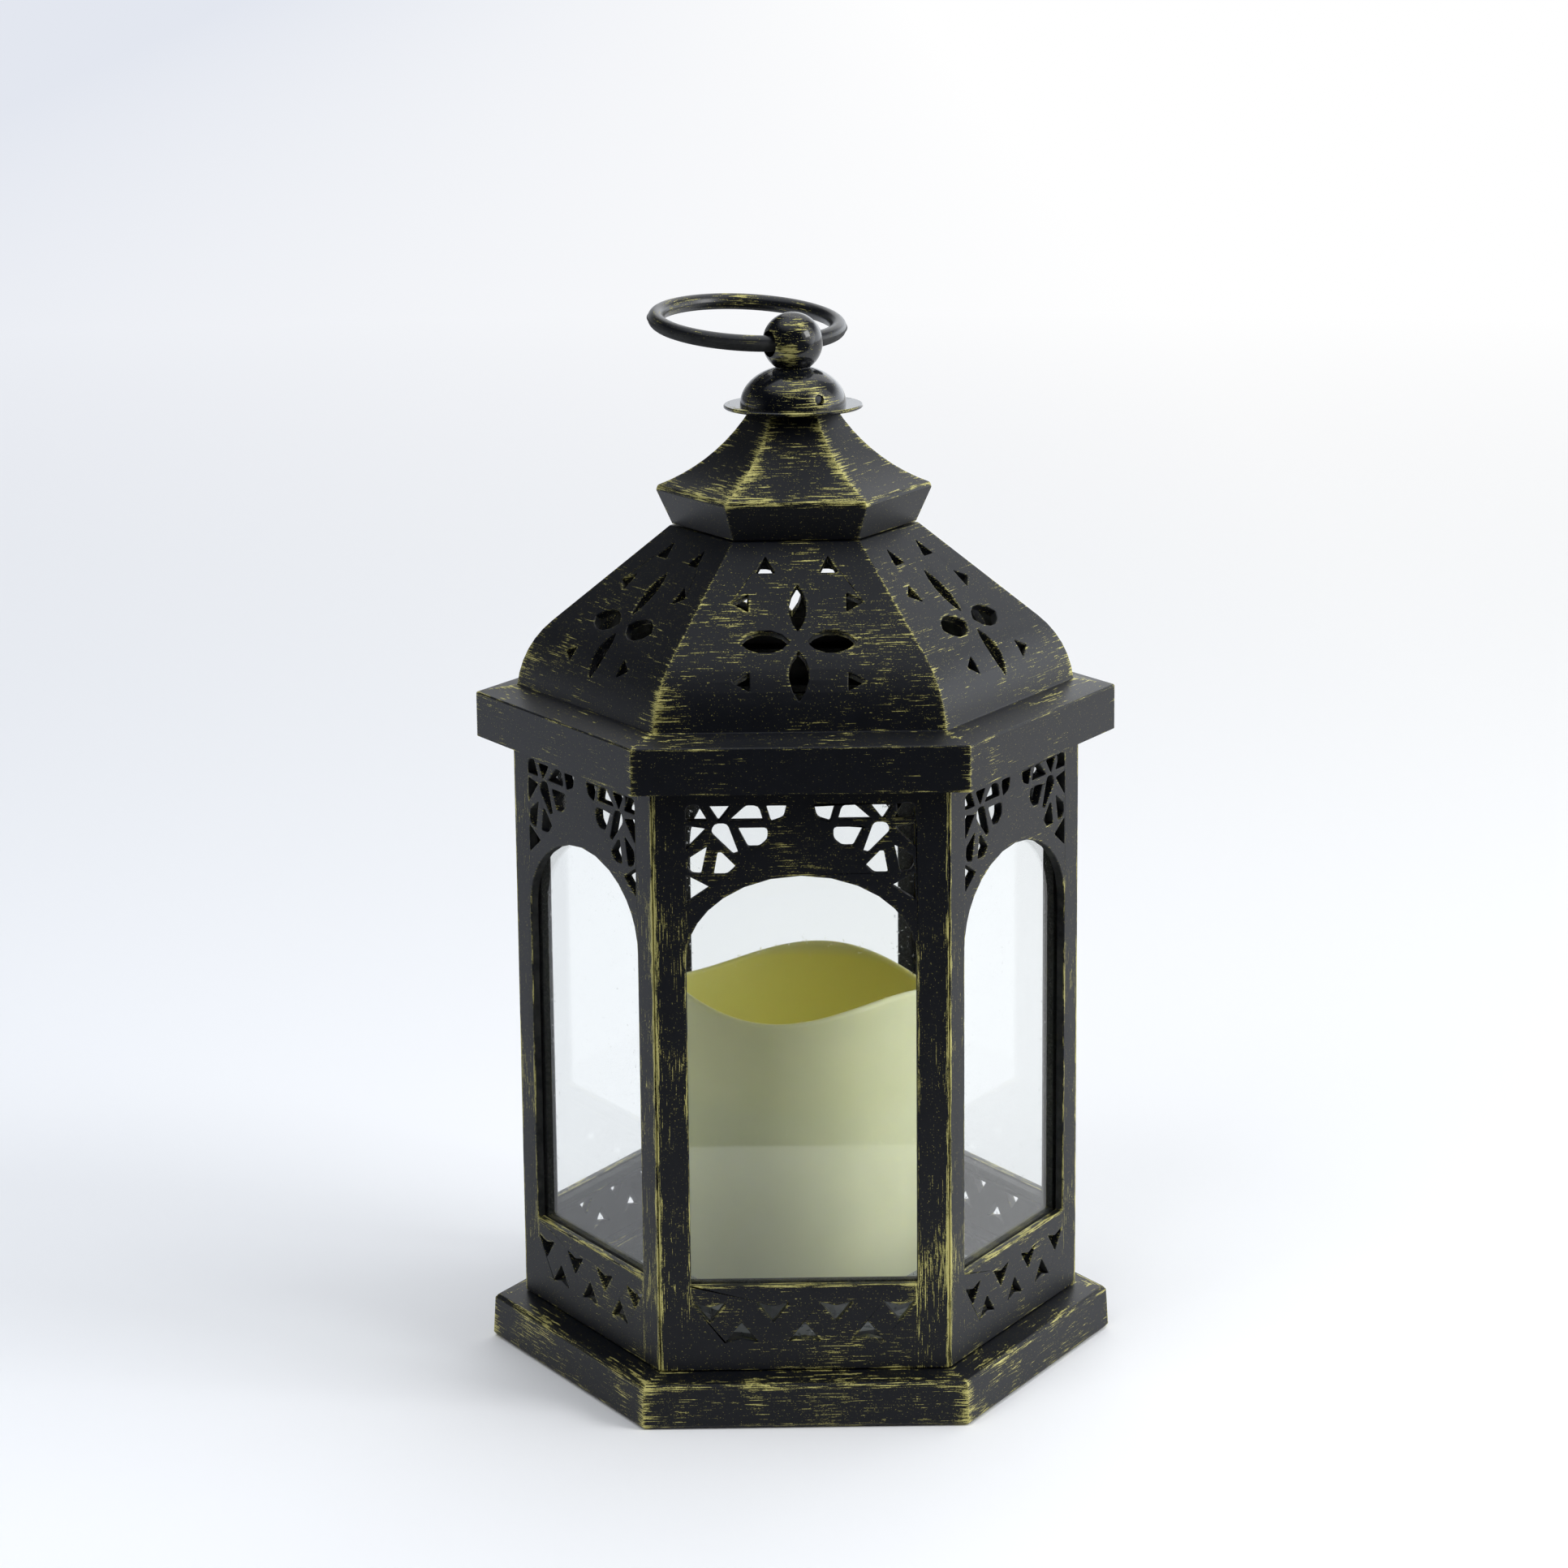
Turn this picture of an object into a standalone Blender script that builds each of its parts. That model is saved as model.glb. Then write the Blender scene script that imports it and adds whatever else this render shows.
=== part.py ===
"""Hexagonal hurricane lantern with a flameless candle.

Metres, +Z up. The origin is the middle of the foot, the front panel faces -Y
and two of the six corners lie on the X axis. A "corner radius" is measured
from the axis to a corner of the hexagon, an "apothem" to the middle of a flat.
"""
import math

import bmesh
import bpy
from mathutils import Matrix, Vector

MM = 0.001
SIDES = 6
COS30 = math.cos(math.pi / SIDES)

# Clearances
SEAT = 0.3 * MM             # between pieces that rest on one another
FIT = 0.3 * MM              # round a piece that goes inside another
OVERRUN = 1.0 * MM          # how far a cutter runs past what it cuts
BITE = 0.5 * MM             # how far a rib runs into the wall that carries it

# Corner radius of the six panels together; foot, brim, dome and cap keep to it
BODY_R = 71.4 * MM

# Foot
FOOT_LEDGE = 8.0 * MM       # how far its top stands out from the panels
FOOT_FLARE = 0.6 * MM
FOOT_H = 11.2 * MM
FOOT_EDGE = 0.9 * MM
FOOT_WALL = 2.4 * MM
DECK_Z = 12.1 * MM
DECK_T = 2.4 * MM
LOCATING_RIB_H = 3.0 * MM
LOCATING_RIB_T = 1.8 * MM
FOOT_RIB_T = 1.6 * MM
COLLAR_T = 1.8 * MM

# Side panels
PANEL_H = 157.3 * MM
PANEL_T = 2.2 * MM
PANEL_DEPTH = 6.1 * MM
PANEL_GAP = 0.3 * MM
EDGE_RIB_W = 4.2 * MM       # upright rib, from the panel's corner to its inner side
SOLE_H = 3.0 * MM
SHELF_Z = 30.9 * MM
SHELF_T = 1.2 * MM
HEAD_RIB_DROP = 11.7 * MM   # underside of the head rib below the panel's top
HEAD_RIB_T = 2.0 * MM
TAB_INSET = 13.5 * MM       # middle of a tab in from the upright rib
TAB_W = 8.0 * MM
TAB_T = 1.8 * MM
TAB_DROP = 3.6 * MM

# Corners of the fretwork under this radius are drawn as points
LEAST_ROUND = 0.55 * MM

# Window with its basket arch
JAMB_W = 3.7 * MM           # jamb in front of the tray, from the upright rib
SILL_Z = 34.2 * MM
SPRINGING_DROP = 41.0 * MM  # springing of the arch below the head rib
ARCH_RISE = 20.5 * MM
ARCH_STEPS = 16

# Pane and the frame that holds it
PANE_T = 1.0 * MM
RETAINER_TOP_BAR = 1.9 * MM

# Darts in the bottom rail: half width, height and notch of one arrowhead
DART_HALF = 4.1 * MM
DART_H = 5.1 * MM
DART_NOTCH = 1.1 * MM
DART_MARGIN = 0.45 * MM     # outermost dart in from the line of the jamb
UPPER_DARTS_Z = 29.9 * MM
UPPER_DARTS = 4
LOWER_DARTS_Z = 19.7 * MM
LOWER_DARTS = 3

# Fretwork of the left spandrel in millimetres: x, drop below the head rib and radius of
# each corner, drawn for a window of this half width
FRET_DRAWN_HALF = 27.8
FRET_HOLES = (
    ((-27.5, 6.5, 0.4), (-27.5, 2.8, 1.8), (-24.5, 2.8, 0.4), (-22.3, 6.5, 0.4)),
    ((-21.9, 3.1, 0.4), (-16.8, 3.1, 0.4), (-19.6, 6.7, 0.5)),
    ((-17.0, 6.6, 0.3), (-13.0, 3.0, 1.6), (-10.0, 3.1, 1.4), (-9.0, 6.6, 0.4)),
    ((-8.2, 3.1, 0.5), (-3.3, 3.1, 0.5), (-4.0, 6.1, 1.5), (-7.0, 7.1, 0.5)),
    ((-27.5, 7.8, 0.4), (-22.5, 8.6, 0.4), (-27.5, 13.7, 0.4)),
    ((-21.4, 9.8, 1.3), (-20.8, 7.4, 1.4), (-17.5, 7.4, 1.3), (-14.9, 14.6, 0.5),
     (-16.2, 15.0, 0.4)),
    ((-15.0, 8.5, 0.4), (-7.9, 8.5, 0.8), (-7.9, 11.6, 2.0), (-9.9, 13.2, 1.4),
     (-12.6, 13.2, 0.6)),
    ((-22.4, 13.0, 0.5), (-23.9, 19.8, 0.5), (-26.2, 19.6, 1.3), (-27.2, 17.8, 0.9),
     (-26.8, 15.8, 0.6)),
    ((-19.9, 14.5, 0.4), (-18.9, 14.5, 0.4), (-15.5, 18.0, 0.4), (-17.6, 20.0, 1.4),
     (-20.9, 20.0, 0.5)),
    ((-27.5, 19.9, 0.4), (-21.8, 23.0, 0.4), (-27.5, 26.8, 0.4)),
)

# Roof: brim and dome in one moulding, heights measured from the panels' top
ROOF_WALL = 2.2 * MM
BRIM_LEDGE = 9.0 * MM       # how far its face stands out from the panels
BRIM_DROP = 10.3 * MM
BRIM_EDGE = 0.4 * MM
BRIM_SLOPE = math.radians(10.7)
BRIM_RIB_T = 1.6 * MM
BRIM_RIB_DROP = 6.7 * MM
DOME_INSET = 1.4 * MM       # dome's foot in from the panels' face
DOME_FOOT_ANGLE = math.radians(83.5)
DOME_SLOPE = math.radians(38.6)
SHOULDER_R = 24.2 * MM
SHOULDER_STEPS = 6
DOME_RUN = 39.0 * MM        # dome's foot to the edge of its top
SPIGOT_H = 4.0 * MM

# Openings of one dome face: across the face and up its slope from the shoulder
PETAL_GAP = 2.0 * MM
PETAL_SIDE_LENGTH = 12.1 * MM
PETAL_SIDE_WIDTH = 6.8 * MM
PETAL_SIDE_RISE = 5.3 * MM
PETAL_TOP_LENGTH = 14.1 * MM
PETAL_TOP_WIDTH = 4.2 * MM
PETAL_TOP_RISE = 8.3 * MM
PETAL_LOW_LENGTH = 13.1 * MM
PETAL_LOW_WIDTH = 4.8 * MM
PETAL_LOW_RISE = 2.5 * MM
PETAL_STEPS = 5
TRI_X = 11.8 * MM
TRI_POINT = 4.2 * MM
TRI_UP_HALF = 2.8 * MM
TRI_UP_RISE = 17.0 * MM
TRI_LOW_HALF = 2.3 * MM
TRI_LOW_RISE = -5.9 * MM
CROWN_TRI_X = 7.6 * MM
CROWN_TRI_HALF = 2.35 * MM
CROWN_TRI_H = 5.1 * MM
CROWN_TRI_RISE = 26.0 * MM

# Cap: hexagonal bell over the dome's neck
CAP_WALL = 2.2 * MM
CAP_INSET = 0.5 * MM        # skirt's lower edge in from the edge of the dome's top
CAP_SKIRT_FLARE = 3.9 * MM
CAP_EAVE_RISE = 8.6 * MM
CAP_EAVE_EDGE = 1.2 * MM
CAP_FLARE_R = 46.3 * MM
CAP_TOP_R = 10.7 * MM
CAP_H = 28.6 * MM
CAP_FLARE_STEPS = 9

# Finial in two halves, clamped round the ring
SPLIT_ANGLE = math.radians(30.0)
FLANGE_R = 17.3 * MM
FLANGE_T = 0.9 * MM
KNOB_R = 13.2 * MM
KNOB_H = 10.2 * MM
KNOB_STEPS = 4
BALL_R = 7.5 * MM
BALL_RISE = 15.3 * MM       # ball centre above the flange's top
BALL_STEPS = 6
SPIGOT_R = 7.7 * MM
LIP_R = 9.0 * MM
LIP_H = 1.6 * MM
RING_BORE_R = 3.25 * MM
PIN_RISE = 2.3 * MM
PIN_R = 0.6 * MM
PIN_HEAD_R = 1.0 * MM
PIN_HEAD_T = 0.9 * MM
PIN_SUNK = 0.8 * MM
PIN_TAIL = 5.7 * MM
TURN_STEPS = 24

# Ring handle
RING_R = 23.0 * MM
RING_TUBE_R = 2.1 * MM
RING_INSET = 0.6 * MM       # tube axis inside the bore's axis at the ball's middle
RING_LIFT = math.radians(7.0)

# Candle
CANDLE_INSET = 1.1 * MM     # its side in from the battery housing's
CANDLE_WALL = 2.2 * MM
CANDLE_H = 76.4 * MM
CANDLE_WAVE = 2.2 * MM
CANDLE_LOBES = 3
CANDLE_CREST = math.radians(76.4)
CANDLE_LIP = 1.0 * MM
CANDLE_WEB_DEPTH = 24.1 * MM
CANDLE_WEB_T = 2.2 * MM
CANDLE_STEPS = 28

# Battery housing under the candle
CUP_T = 2.0 * MM
CUP_DEPTH = 4.4 * MM
HOUSING_MARGIN = 0.71 * MM  # housing's side beyond the battery bay's corners
HOUSING_WALL = 1.8 * MM
HOUSING_FLANGE_MARGIN = 3.8 * MM    # flange beyond the circle of the screws
HOUSING_FLANGE_T = 2.2 * MM
HOUSING_TOP_T = 1.7 * MM
HOUSING_SKIRT_Z = 5.2 * MM
HOUSING_STEPS = 28
BAY_END_ROOM = 3.25 * MM    # contacts and spring at each end of the cells
BAY_SIDE_ROOM = 0.55 * MM
BAY_WALL = 2.2 * MM
UNDERSIDE_Z = 3.0 * MM
SCREW_INSET = 4.3 * MM      # circle of the screws beyond the candle's cup
SCREW_COUNT = 3
SCREW_R = 1.4 * MM
SCREW_HEAD_R = 2.7 * MM
SCREW_HEAD_T = 1.8 * MM
SCREW_GRIP = 5.0 * MM
BOSS_R = 3.2 * MM

# Battery door
DOOR_T = 1.8 * MM
TONGUE_T = 0.9 * MM
TONGUE_W = 1.1 * MM
TONGUE_L = 9.0 * MM
TONGUE_X = (-19.0 * MM, 3.0 * MM)
DOOR_TRAVEL = 8.0 * MM      # the tongues then stand at the notches
DOOR_RIDGES = 3
DOOR_RIDGE_W = 14.0 * MM
DOOR_RIDGE_T = 1.0 * MM
DOOR_RIDGE_H = 0.6 * MM
DOOR_RIDGE_PITCH = 2.4 * MM

# Cells and contacts
CELL_R = 5.25 * MM
CELL_L = 44.5 * MM
CELL_GAP = 0.8 * MM
CELL_COUNT = 3
CELL_NUB_R = 1.9 * MM
CELL_NUB_H = 1.0 * MM
CELL_STEPS = 10
CONTACT_T = 0.5 * MM
CONTACT_H = 8.0 * MM
SPRING_FOOT_R = 3.6 * MM
SPRING_TIP_R = 2.4 * MM

# Switch
SWITCH_GAP = 2.1 * MM       # between the walls of the bay and the switch
SWITCH_BODY = Vector((8.6, 4.0, 3.8)) * MM
SWITCH_WALL = 1.9 * MM
SWITCH_FLOOR_T = 1.6 * MM
SLIDER_X = 2.6 * MM
SLIDER_Y = 2.0 * MM
SLIDER_TRAVEL = 2.0 * MM    # each way from the middle
SLIDER_TIP_Z = 1.6 * MM
SLIDER_STEM = 1.2 * MM
SLIDER_STEM_H = 1.3 * MM

# Light
POST_R = 8.0 * MM
POST_WALL = 1.4 * MM
POST_FOOT_R = 12.0 * MM
POST_FOOT_T = 1.6 * MM
BOARD_T = 1.6 * MM
LED_R = 2.5 * MM
LED_H = 6.0 * MM
LED_FLANGE_R = 2.9 * MM
LED_FLANGE_T = 1.0 * MM
FLAME_R = 4.2 * MM
FLAME_WALL = 0.9 * MM
FLAME_FOOT_R = 5.8 * MM
FLAME_FOOT_T = 0.9 * MM
FLAME_RISE = 9.5 * MM       # tip above the candle's recess
TIMER_BOARD = Vector((20.0, 8.0, 1.2)) * MM
TIMER_BOARD_GAP = 0.9 * MM
TIMER_CHIP = Vector((5.0, 3.6, 1.4)) * MM
SMALL_STEPS = 16

# Heights and radii that follow from the sizes above
FOOT_TOP_R = BODY_R + FOOT_LEDGE
FOOT_R = FOOT_TOP_R + FOOT_FLARE
FOOT_RIB_Z = HOUSING_SKIRT_Z
PANEL_APOTHEM = BODY_R * COS30
PANEL_Z = DECK_Z + SEAT
PANEL_TOP = PANEL_Z + PANEL_H
EDGE_RIB_X = BODY_R / 2 - EDGE_RIB_W
HEAD_RIB_Z = PANEL_TOP - HEAD_RIB_DROP
TAB_X = EDGE_RIB_X - TAB_INSET
WINDOW_HALF = EDGE_RIB_X - JAMB_W
SPRINGING_Z = HEAD_RIB_Z - SPRINGING_DROP
DART_PITCH = 2 * (WINDOW_HALF - DART_MARGIN - DART_HALF) / (UPPER_DARTS - 1)
LOCATING_RIB_R = (PANEL_APOTHEM - PANEL_DEPTH - FIT) / COS30
TRAY_LOW = SHELF_Z + SHELF_T
PANE_HALF = EDGE_RIB_X - FIT
PANE_LOW = TRAY_LOW + FIT
PANE_TOP = HEAD_RIB_Z - FIT
RETAINER_FRONT = PANEL_T + SEAT + PANE_T + SEAT
BRIM_Z = PANEL_TOP - BRIM_DROP
BRIM_R = BODY_R + BRIM_LEDGE
DOME_FOOT_R = BODY_R - DOME_INSET
NECK_LEDGE_R = DOME_FOOT_R - DOME_RUN
CAP_FOOT_R = NECK_LEDGE_R - CAP_INSET
CAP_EAVE_R = CAP_FOOT_R + CAP_SKIRT_FLARE
BRIM_TOP_R = BRIM_R - BRIM_EDGE / 2
BRIM_TOP_Z = (PANEL_TOP + SEAT + ROOF_WALL / math.cos(BRIM_SLOPE)
              - (BRIM_TOP_R - BODY_R) * COS30 * math.tan(BRIM_SLOPE))
DOME_FOOT_Z = BRIM_TOP_Z + (BRIM_TOP_R - DOME_FOOT_R) * COS30 * math.tan(BRIM_SLOPE)
HOUSING_Z = DECK_Z + SEAT
DOOR_TOP_Z = UNDERSIDE_Z + DOOR_T
CELL_Z = DOOR_TOP_Z + SEAT + CELL_R
CELL_PITCH = 2 * CELL_R + CELL_GAP
BAY_X = CELL_L + 2 * BAY_END_ROOM
BAY_Y = CELL_COUNT * CELL_PITCH + 2 * BAY_SIDE_ROOM
BAY_WALL_Y = BAY_Y / 2 + BAY_WALL
SWITCH_Y = -(BAY_WALL_Y + SWITCH_GAP + SWITCH_WALL + FIT + SWITCH_BODY.y / 2)
TIMER_BOARD_Y = BAY_WALL_Y + TIMER_BOARD_GAP + TIMER_BOARD.y / 2
CEILING_Z = CELL_Z + CELL_R + SEAT
HOUSING_TOP_Z = CEILING_Z + HOUSING_TOP_T
HOUSING_R = math.hypot(BAY_X / 2 + BAY_WALL, BAY_WALL_Y) + HOUSING_MARGIN
OPENING_R = HOUSING_R + FIT
CANDLE_R = HOUSING_R - CANDLE_INSET
CUP_INNER_R = CANDLE_R + FIT
SCREW_CIRCLE_R = CUP_INNER_R + CUP_T + SCREW_INSET
HOUSING_FLANGE_R = SCREW_CIRCLE_R + HOUSING_FLANGE_MARGIN
CANDLE_Z = HOUSING_TOP_Z + SEAT
CANDLE_RIM_Z = CANDLE_Z + CANDLE_H
RECESS_Z = CANDLE_RIM_Z - CANDLE_WEB_DEPTH
WEB_UNDER_Z = RECESS_Z - CANDLE_WEB_T
FLAME_FOOT_Z = WEB_UNDER_Z - SEAT - FLAME_FOOT_T
LED_BOARD_TOP_Z = FLAME_FOOT_Z - SEAT
POST_TOP_Z = LED_BOARD_TOP_Z - BOARD_T - SEAT


def shoulder_points():
    """Corner line of the dome's rounded shoulder, from the straight slope down to its foot."""
    turn = DOME_FOOT_ANGLE - DOME_SLOPE
    centre = Vector((DOME_FOOT_R - SHOULDER_R * math.sin(DOME_FOOT_ANGLE),
                     DOME_FOOT_Z - SHOULDER_R * math.cos(DOME_FOOT_ANGLE)))
    points = []
    for step in range(SHOULDER_STEPS + 1):
        tangent = DOME_SLOPE + turn * step / SHOULDER_STEPS
        points.append((centre.x + SHOULDER_R * math.sin(tangent),
                       centre.y + SHOULDER_R * math.cos(tangent)))
    return points


SHOULDER = shoulder_points()
SLOPE_R, SLOPE_Z = SHOULDER[0]
NECK_Z = SLOPE_Z + (SLOPE_R - NECK_LEDGE_R) * math.tan(DOME_SLOPE)
CAP_Z = NECK_Z + SEAT
CAP_TOP_Z = CAP_Z + CAP_H
NECK_SPIGOT_R = CAP_FOOT_R - (CAP_WALL + FIT) / COS30
FLANGE_Z = CAP_TOP_Z + SEAT
KNOB_Z = FLANGE_Z + FLANGE_T
BALL_Z = KNOB_Z + BALL_RISE
LIP_TOP_Z = CAP_TOP_Z - CAP_WALL - SEAT

PARTS = "hexagonal_hurricane_lantern"
TOOLS = "cutting_and_joining_shapes"


def clear_scene():
    """Remove every object and make the two collections."""
    for obj in list(bpy.data.objects):
        bpy.data.objects.remove(obj, do_unlink=True)
    for name in (PARTS, TOOLS):
        collection = bpy.data.collections.get(name) or bpy.data.collections.new(name)
        if collection.name not in bpy.context.scene.collection.children:
            bpy.context.scene.collection.children.link(collection)


def linear(channel):
    """One sRGB channel (0 to 255) as a linear value."""
    value = channel / 255
    return value / 12.92 if value <= 0.04045 else ((value + 0.055) / 1.055) ** 2.4


def make_material(name, colour, roughness, metallic=0.0, transmission=0.0):
    """A Principled material from a hex sRGB colour."""
    material = bpy.data.materials.new(name)
    material.use_nodes = True
    shader = material.node_tree.nodes["Principled BSDF"]
    channels = [linear(int(colour[i:i + 2], 16)) for i in (1, 3, 5)]
    shader.inputs["Base Color"].default_value = (*channels, 1.0)
    shader.inputs["Roughness"].default_value = roughness
    shader.inputs["Metallic"].default_value = metallic
    shader.inputs["Transmission Weight"].default_value = transmission
    return material


def make_materials():
    """The finishes of the lantern, by name."""
    return {
        "painted": make_material("black_plastic_brushed_gold", "#1B1C1F", 0.5),
        "raw": make_material("raw_black_plastic", "#141517", 0.62),
        "clear": make_material("clear_acrylic", "#F4F7F6", 0.06, transmission=1.0),
        "wax": make_material("ivory_wax_plastic", "#C9CBA3", 0.48),
        "frosted": make_material("frosted_flame_plastic", "#F3E6C2", 0.4),
        "led": make_material("led_epoxy", "#F6F2DC", 0.15, transmission=0.6),
        "board": make_material("green_circuit_board", "#1F5A35", 0.45),
        "cell": make_material("battery_jacket", "#3B3F45", 0.3, metallic=0.4),
        "steel": make_material("plated_steel", "#B9BCC0", 0.28, metallic=1.0),
        "switch": make_material("switch_plastic", "#0E0F10", 0.4),
    }


def add_object(name, mesh, material=None):
    """Link a mesh as a part, or as a shape that only cuts or joins when it has no material."""
    obj = bpy.data.objects.new(name, mesh)
    if material is None:
        bpy.data.collections[TOOLS].objects.link(obj)
        obj.hide_render = True
        obj.display_type = "WIRE"
    else:
        bpy.data.collections[PARTS].objects.link(obj)
        mesh.materials.append(material)
    return obj


def turned(name, profile, steps, material=None):
    """Turn a profile of (radius, height) points, outer side top to bottom, about the Z axis."""
    on_axis = profile[0][0] == 0.0
    count = len(profile)
    edges = [(i, i + 1) for i in range(count - 1)]
    if not on_axis:
        edges.append((count - 1, 0))
    mesh = bpy.data.meshes.new(name)
    mesh.from_pydata([(r, 0.0, z) for r, z in profile], edges, [])
    obj = add_object(name, mesh, material)
    screw = obj.modifiers.new("turn", "SCREW")
    screw.axis = "Z"
    screw.angle = math.tau
    screw.steps = steps
    screw.render_steps = steps
    screw.use_merge_vertices = True
    screw.merge_threshold = 0.000001
    screw.use_smooth_shade = steps != SIDES
    return obj


def box(name, low, high, material=None):
    """An axis-aligned box between two corners."""
    mesh = bpy.data.meshes.new(name)
    low, high = Vector(low), Vector(high)
    size = high - low
    shape = bmesh.new()
    bmesh.ops.create_cube(shape, size=1.0)
    bmesh.ops.transform(shape, verts=shape.verts,
                        matrix=Matrix.Translation((low + high) / 2) @ Matrix.Diagonal((*size, 1.0)))
    shape.to_mesh(mesh)
    shape.free()
    return add_object(name, mesh, material)


def rod(name, radius, start, end, steps=SMALL_STEPS, material=None):
    """A cylinder between two points."""
    start, end = Vector(start), Vector(end)
    along = end - start
    mesh = bpy.data.meshes.new(name)
    shape = bmesh.new()
    bmesh.ops.create_cone(shape, cap_ends=True, segments=steps, radius1=radius, radius2=radius,
                          depth=along.length)
    turn = Vector((0, 0, 1)).rotation_difference(along).to_matrix().to_4x4()
    bmesh.ops.transform(shape, verts=shape.verts,
                        matrix=Matrix.Translation((start + end) / 2) @ turn)
    shape.to_mesh(mesh)
    shape.free()
    return add_object(name, mesh, material)


def settled_mesh(obj):
    """The mesh of an object with its modifiers or its curve resolved."""
    depsgraph = bpy.context.evaluated_depsgraph_get()
    depsgraph.update()
    return bpy.data.meshes.new_from_object(obj.evaluated_get(depsgraph))


def plate(name, outlines, low, high, placement, material=None):
    """Closed flat outlines, holes included, extruded from low to high along local Z."""
    curve = bpy.data.curves.new(name, "CURVE")
    curve.dimensions = "2D"
    curve.fill_mode = "BOTH"
    curve.extrude = (high - low) / 2
    for outline in outlines:
        spline = curve.splines.new("POLY")
        spline.points.add(len(outline) - 1)
        for point, (x, y) in zip(spline.points, outline):
            point.co = (x, y, 0.0, 1.0)
        spline.use_cyclic_u = True
    flat = bpy.data.objects.new(name + "_outline", curve)
    bpy.data.collections[TOOLS].objects.link(flat)
    mesh = settled_mesh(flat)
    bpy.data.objects.remove(flat, do_unlink=True)
    shape = bmesh.new()
    shape.from_mesh(mesh)
    bmesh.ops.remove_doubles(shape, verts=shape.verts, dist=0.000001)
    bmesh.ops.recalc_face_normals(shape, faces=shape.faces)
    bmesh.ops.transform(shape, verts=shape.verts,
                        matrix=placement @ Matrix.Translation((0, 0, (low + high) / 2)))
    shape.to_mesh(mesh)
    shape.free()
    mesh.materials.clear()
    return add_object(name, mesh, material)


def change(obj, tool, operation):
    """Cut, join or intersect an object with another."""
    modifier = obj.modifiers.new(tool.name, "BOOLEAN")
    modifier.operation = operation
    modifier.solver = "EXACT"
    modifier.object = tool


def cut(obj, tool):
    change(obj, tool, "DIFFERENCE")


def join(obj, tool):
    change(obj, tool, "UNION")


def rectangle(x, low, high):
    """Outline of a rectangle centred on x = 0."""
    return [(-x, low), (x, low), (x, high), (-x, high)]


def mirrored(outline):
    return [(-x, y) for x, y in reversed(outline)]


def rounded(corners, steps=2):
    """An outline whose corners, given as (x, y, radius), are rounded; the smallest stay sharp."""
    outline = []
    count = len(corners)
    for index, (x, y, radius) in enumerate(corners):
        corner = Vector((x, y))
        if radius < LEAST_ROUND:
            outline.append((x, y))
            continue
        before = (Vector(corners[index - 1][:2]) - corner)
        after = (Vector(corners[(index + 1) % count][:2]) - corner)
        half = before.angle(after) / 2
        reach = min(radius / math.tan(half), 0.48 * before.length, 0.48 * after.length)
        middle = (before.normalized() + after.normalized()).normalized()
        actual = reach * math.tan(half)
        centre = corner + middle * actual / math.sin(half)
        start = corner + before.normalized() * reach - centre
        end = corner + after.normalized() * reach - centre
        sweep = start.angle_signed(end)
        for step in range(steps + 1):
            turn = -sweep * step / steps
            outline.append((centre.x + start.x * math.cos(turn) - start.y * math.sin(turn),
                            centre.y + start.x * math.sin(turn) + start.y * math.cos(turn)))
    return outline


def offset_inward(profile, wall):
    """A hexagonal profile's inner side: each flat moves in by the wall, measured square to it."""
    flat = [Vector((r * COS30, z)) for r, z in profile]
    inner = []
    for index, point in enumerate(flat):
        before = (point - flat[index - 1]).normalized() if index else None
        after = (flat[index + 1] - point).normalized() if index + 1 < len(flat) else None
        before, after = before or after, after or before
        inward = [Vector((side.y, -side.x)) for side in (before, after)]
        middle = (inward[0] + inward[1]).normalized()
        moved = point + middle * wall / middle.dot(inward[0])
        inner.append((moved.x / COS30, moved.y))
    return inner


def side_view():
    """Turns a flat outline upright, with its local Z pointing out of the front face."""
    return Matrix(((1, 0, 0, 0), (0, 0, -1, 0), (0, 1, 0, 0), (0, 0, 0, 1)))


def about_axis(angle):
    return Matrix.Rotation(angle, 4, "Z")


def panel_layer(name, outlines, front, back, material=None):
    """Outlines on the front panel, from one depth behind its face to another."""
    return plate(name, outlines, PANEL_APOTHEM - back, PANEL_APOTHEM - front, side_view(),
                 material)


def six_times(template, name):
    """Six objects round the axis that share the template's settled mesh, the first at the front."""
    mesh = settled_mesh(template)
    mesh.name = name
    bpy.data.objects.remove(template, do_unlink=True)
    for side in range(SIDES):
        obj = bpy.data.objects.new(f"{name}_{side + 1}", mesh)
        bpy.data.collections[PARTS].objects.link(obj)
        obj.matrix_world = about_axis(side * math.tau / SIDES)


def window_outline():
    """Straight sides under a basket arch, which turns by the same angle at every step."""
    arch = []
    for step in range(ARCH_STEPS + 1):
        turn = math.pi * step / ARCH_STEPS
        angle = math.atan2(ARCH_RISE * math.sin(turn), WINDOW_HALF * math.cos(turn))
        arch.append((WINDOW_HALF * math.cos(angle), SPRINGING_Z + ARCH_RISE * math.sin(angle)))
    return [(-WINDOW_HALF, SILL_Z), (WINDOW_HALF, SILL_Z)] + arch


def dart_row(count, base, point):
    """A row of arrowheads from their barbs' height to their points' height."""
    notch = base + math.copysign(DART_NOTCH, point - base)
    row = []
    for index in range(count):
        x = (index - (count - 1) / 2) * DART_PITCH
        row.append([(x - DART_HALF, base), (x, notch), (x + DART_HALF, base), (x, point)])
    return row


def fretwork():
    """Both spandrels' openings, spread to the window's width and hung from the head rib."""
    spread = WINDOW_HALF / FRET_DRAWN_HALF
    left = [rounded([(x * spread, HEAD_RIB_Z - drop * MM, r * MM) for x, drop, r in hole])
            for hole in FRET_HOLES]
    return left + [mirrored(hole) for hole in left]


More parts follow.
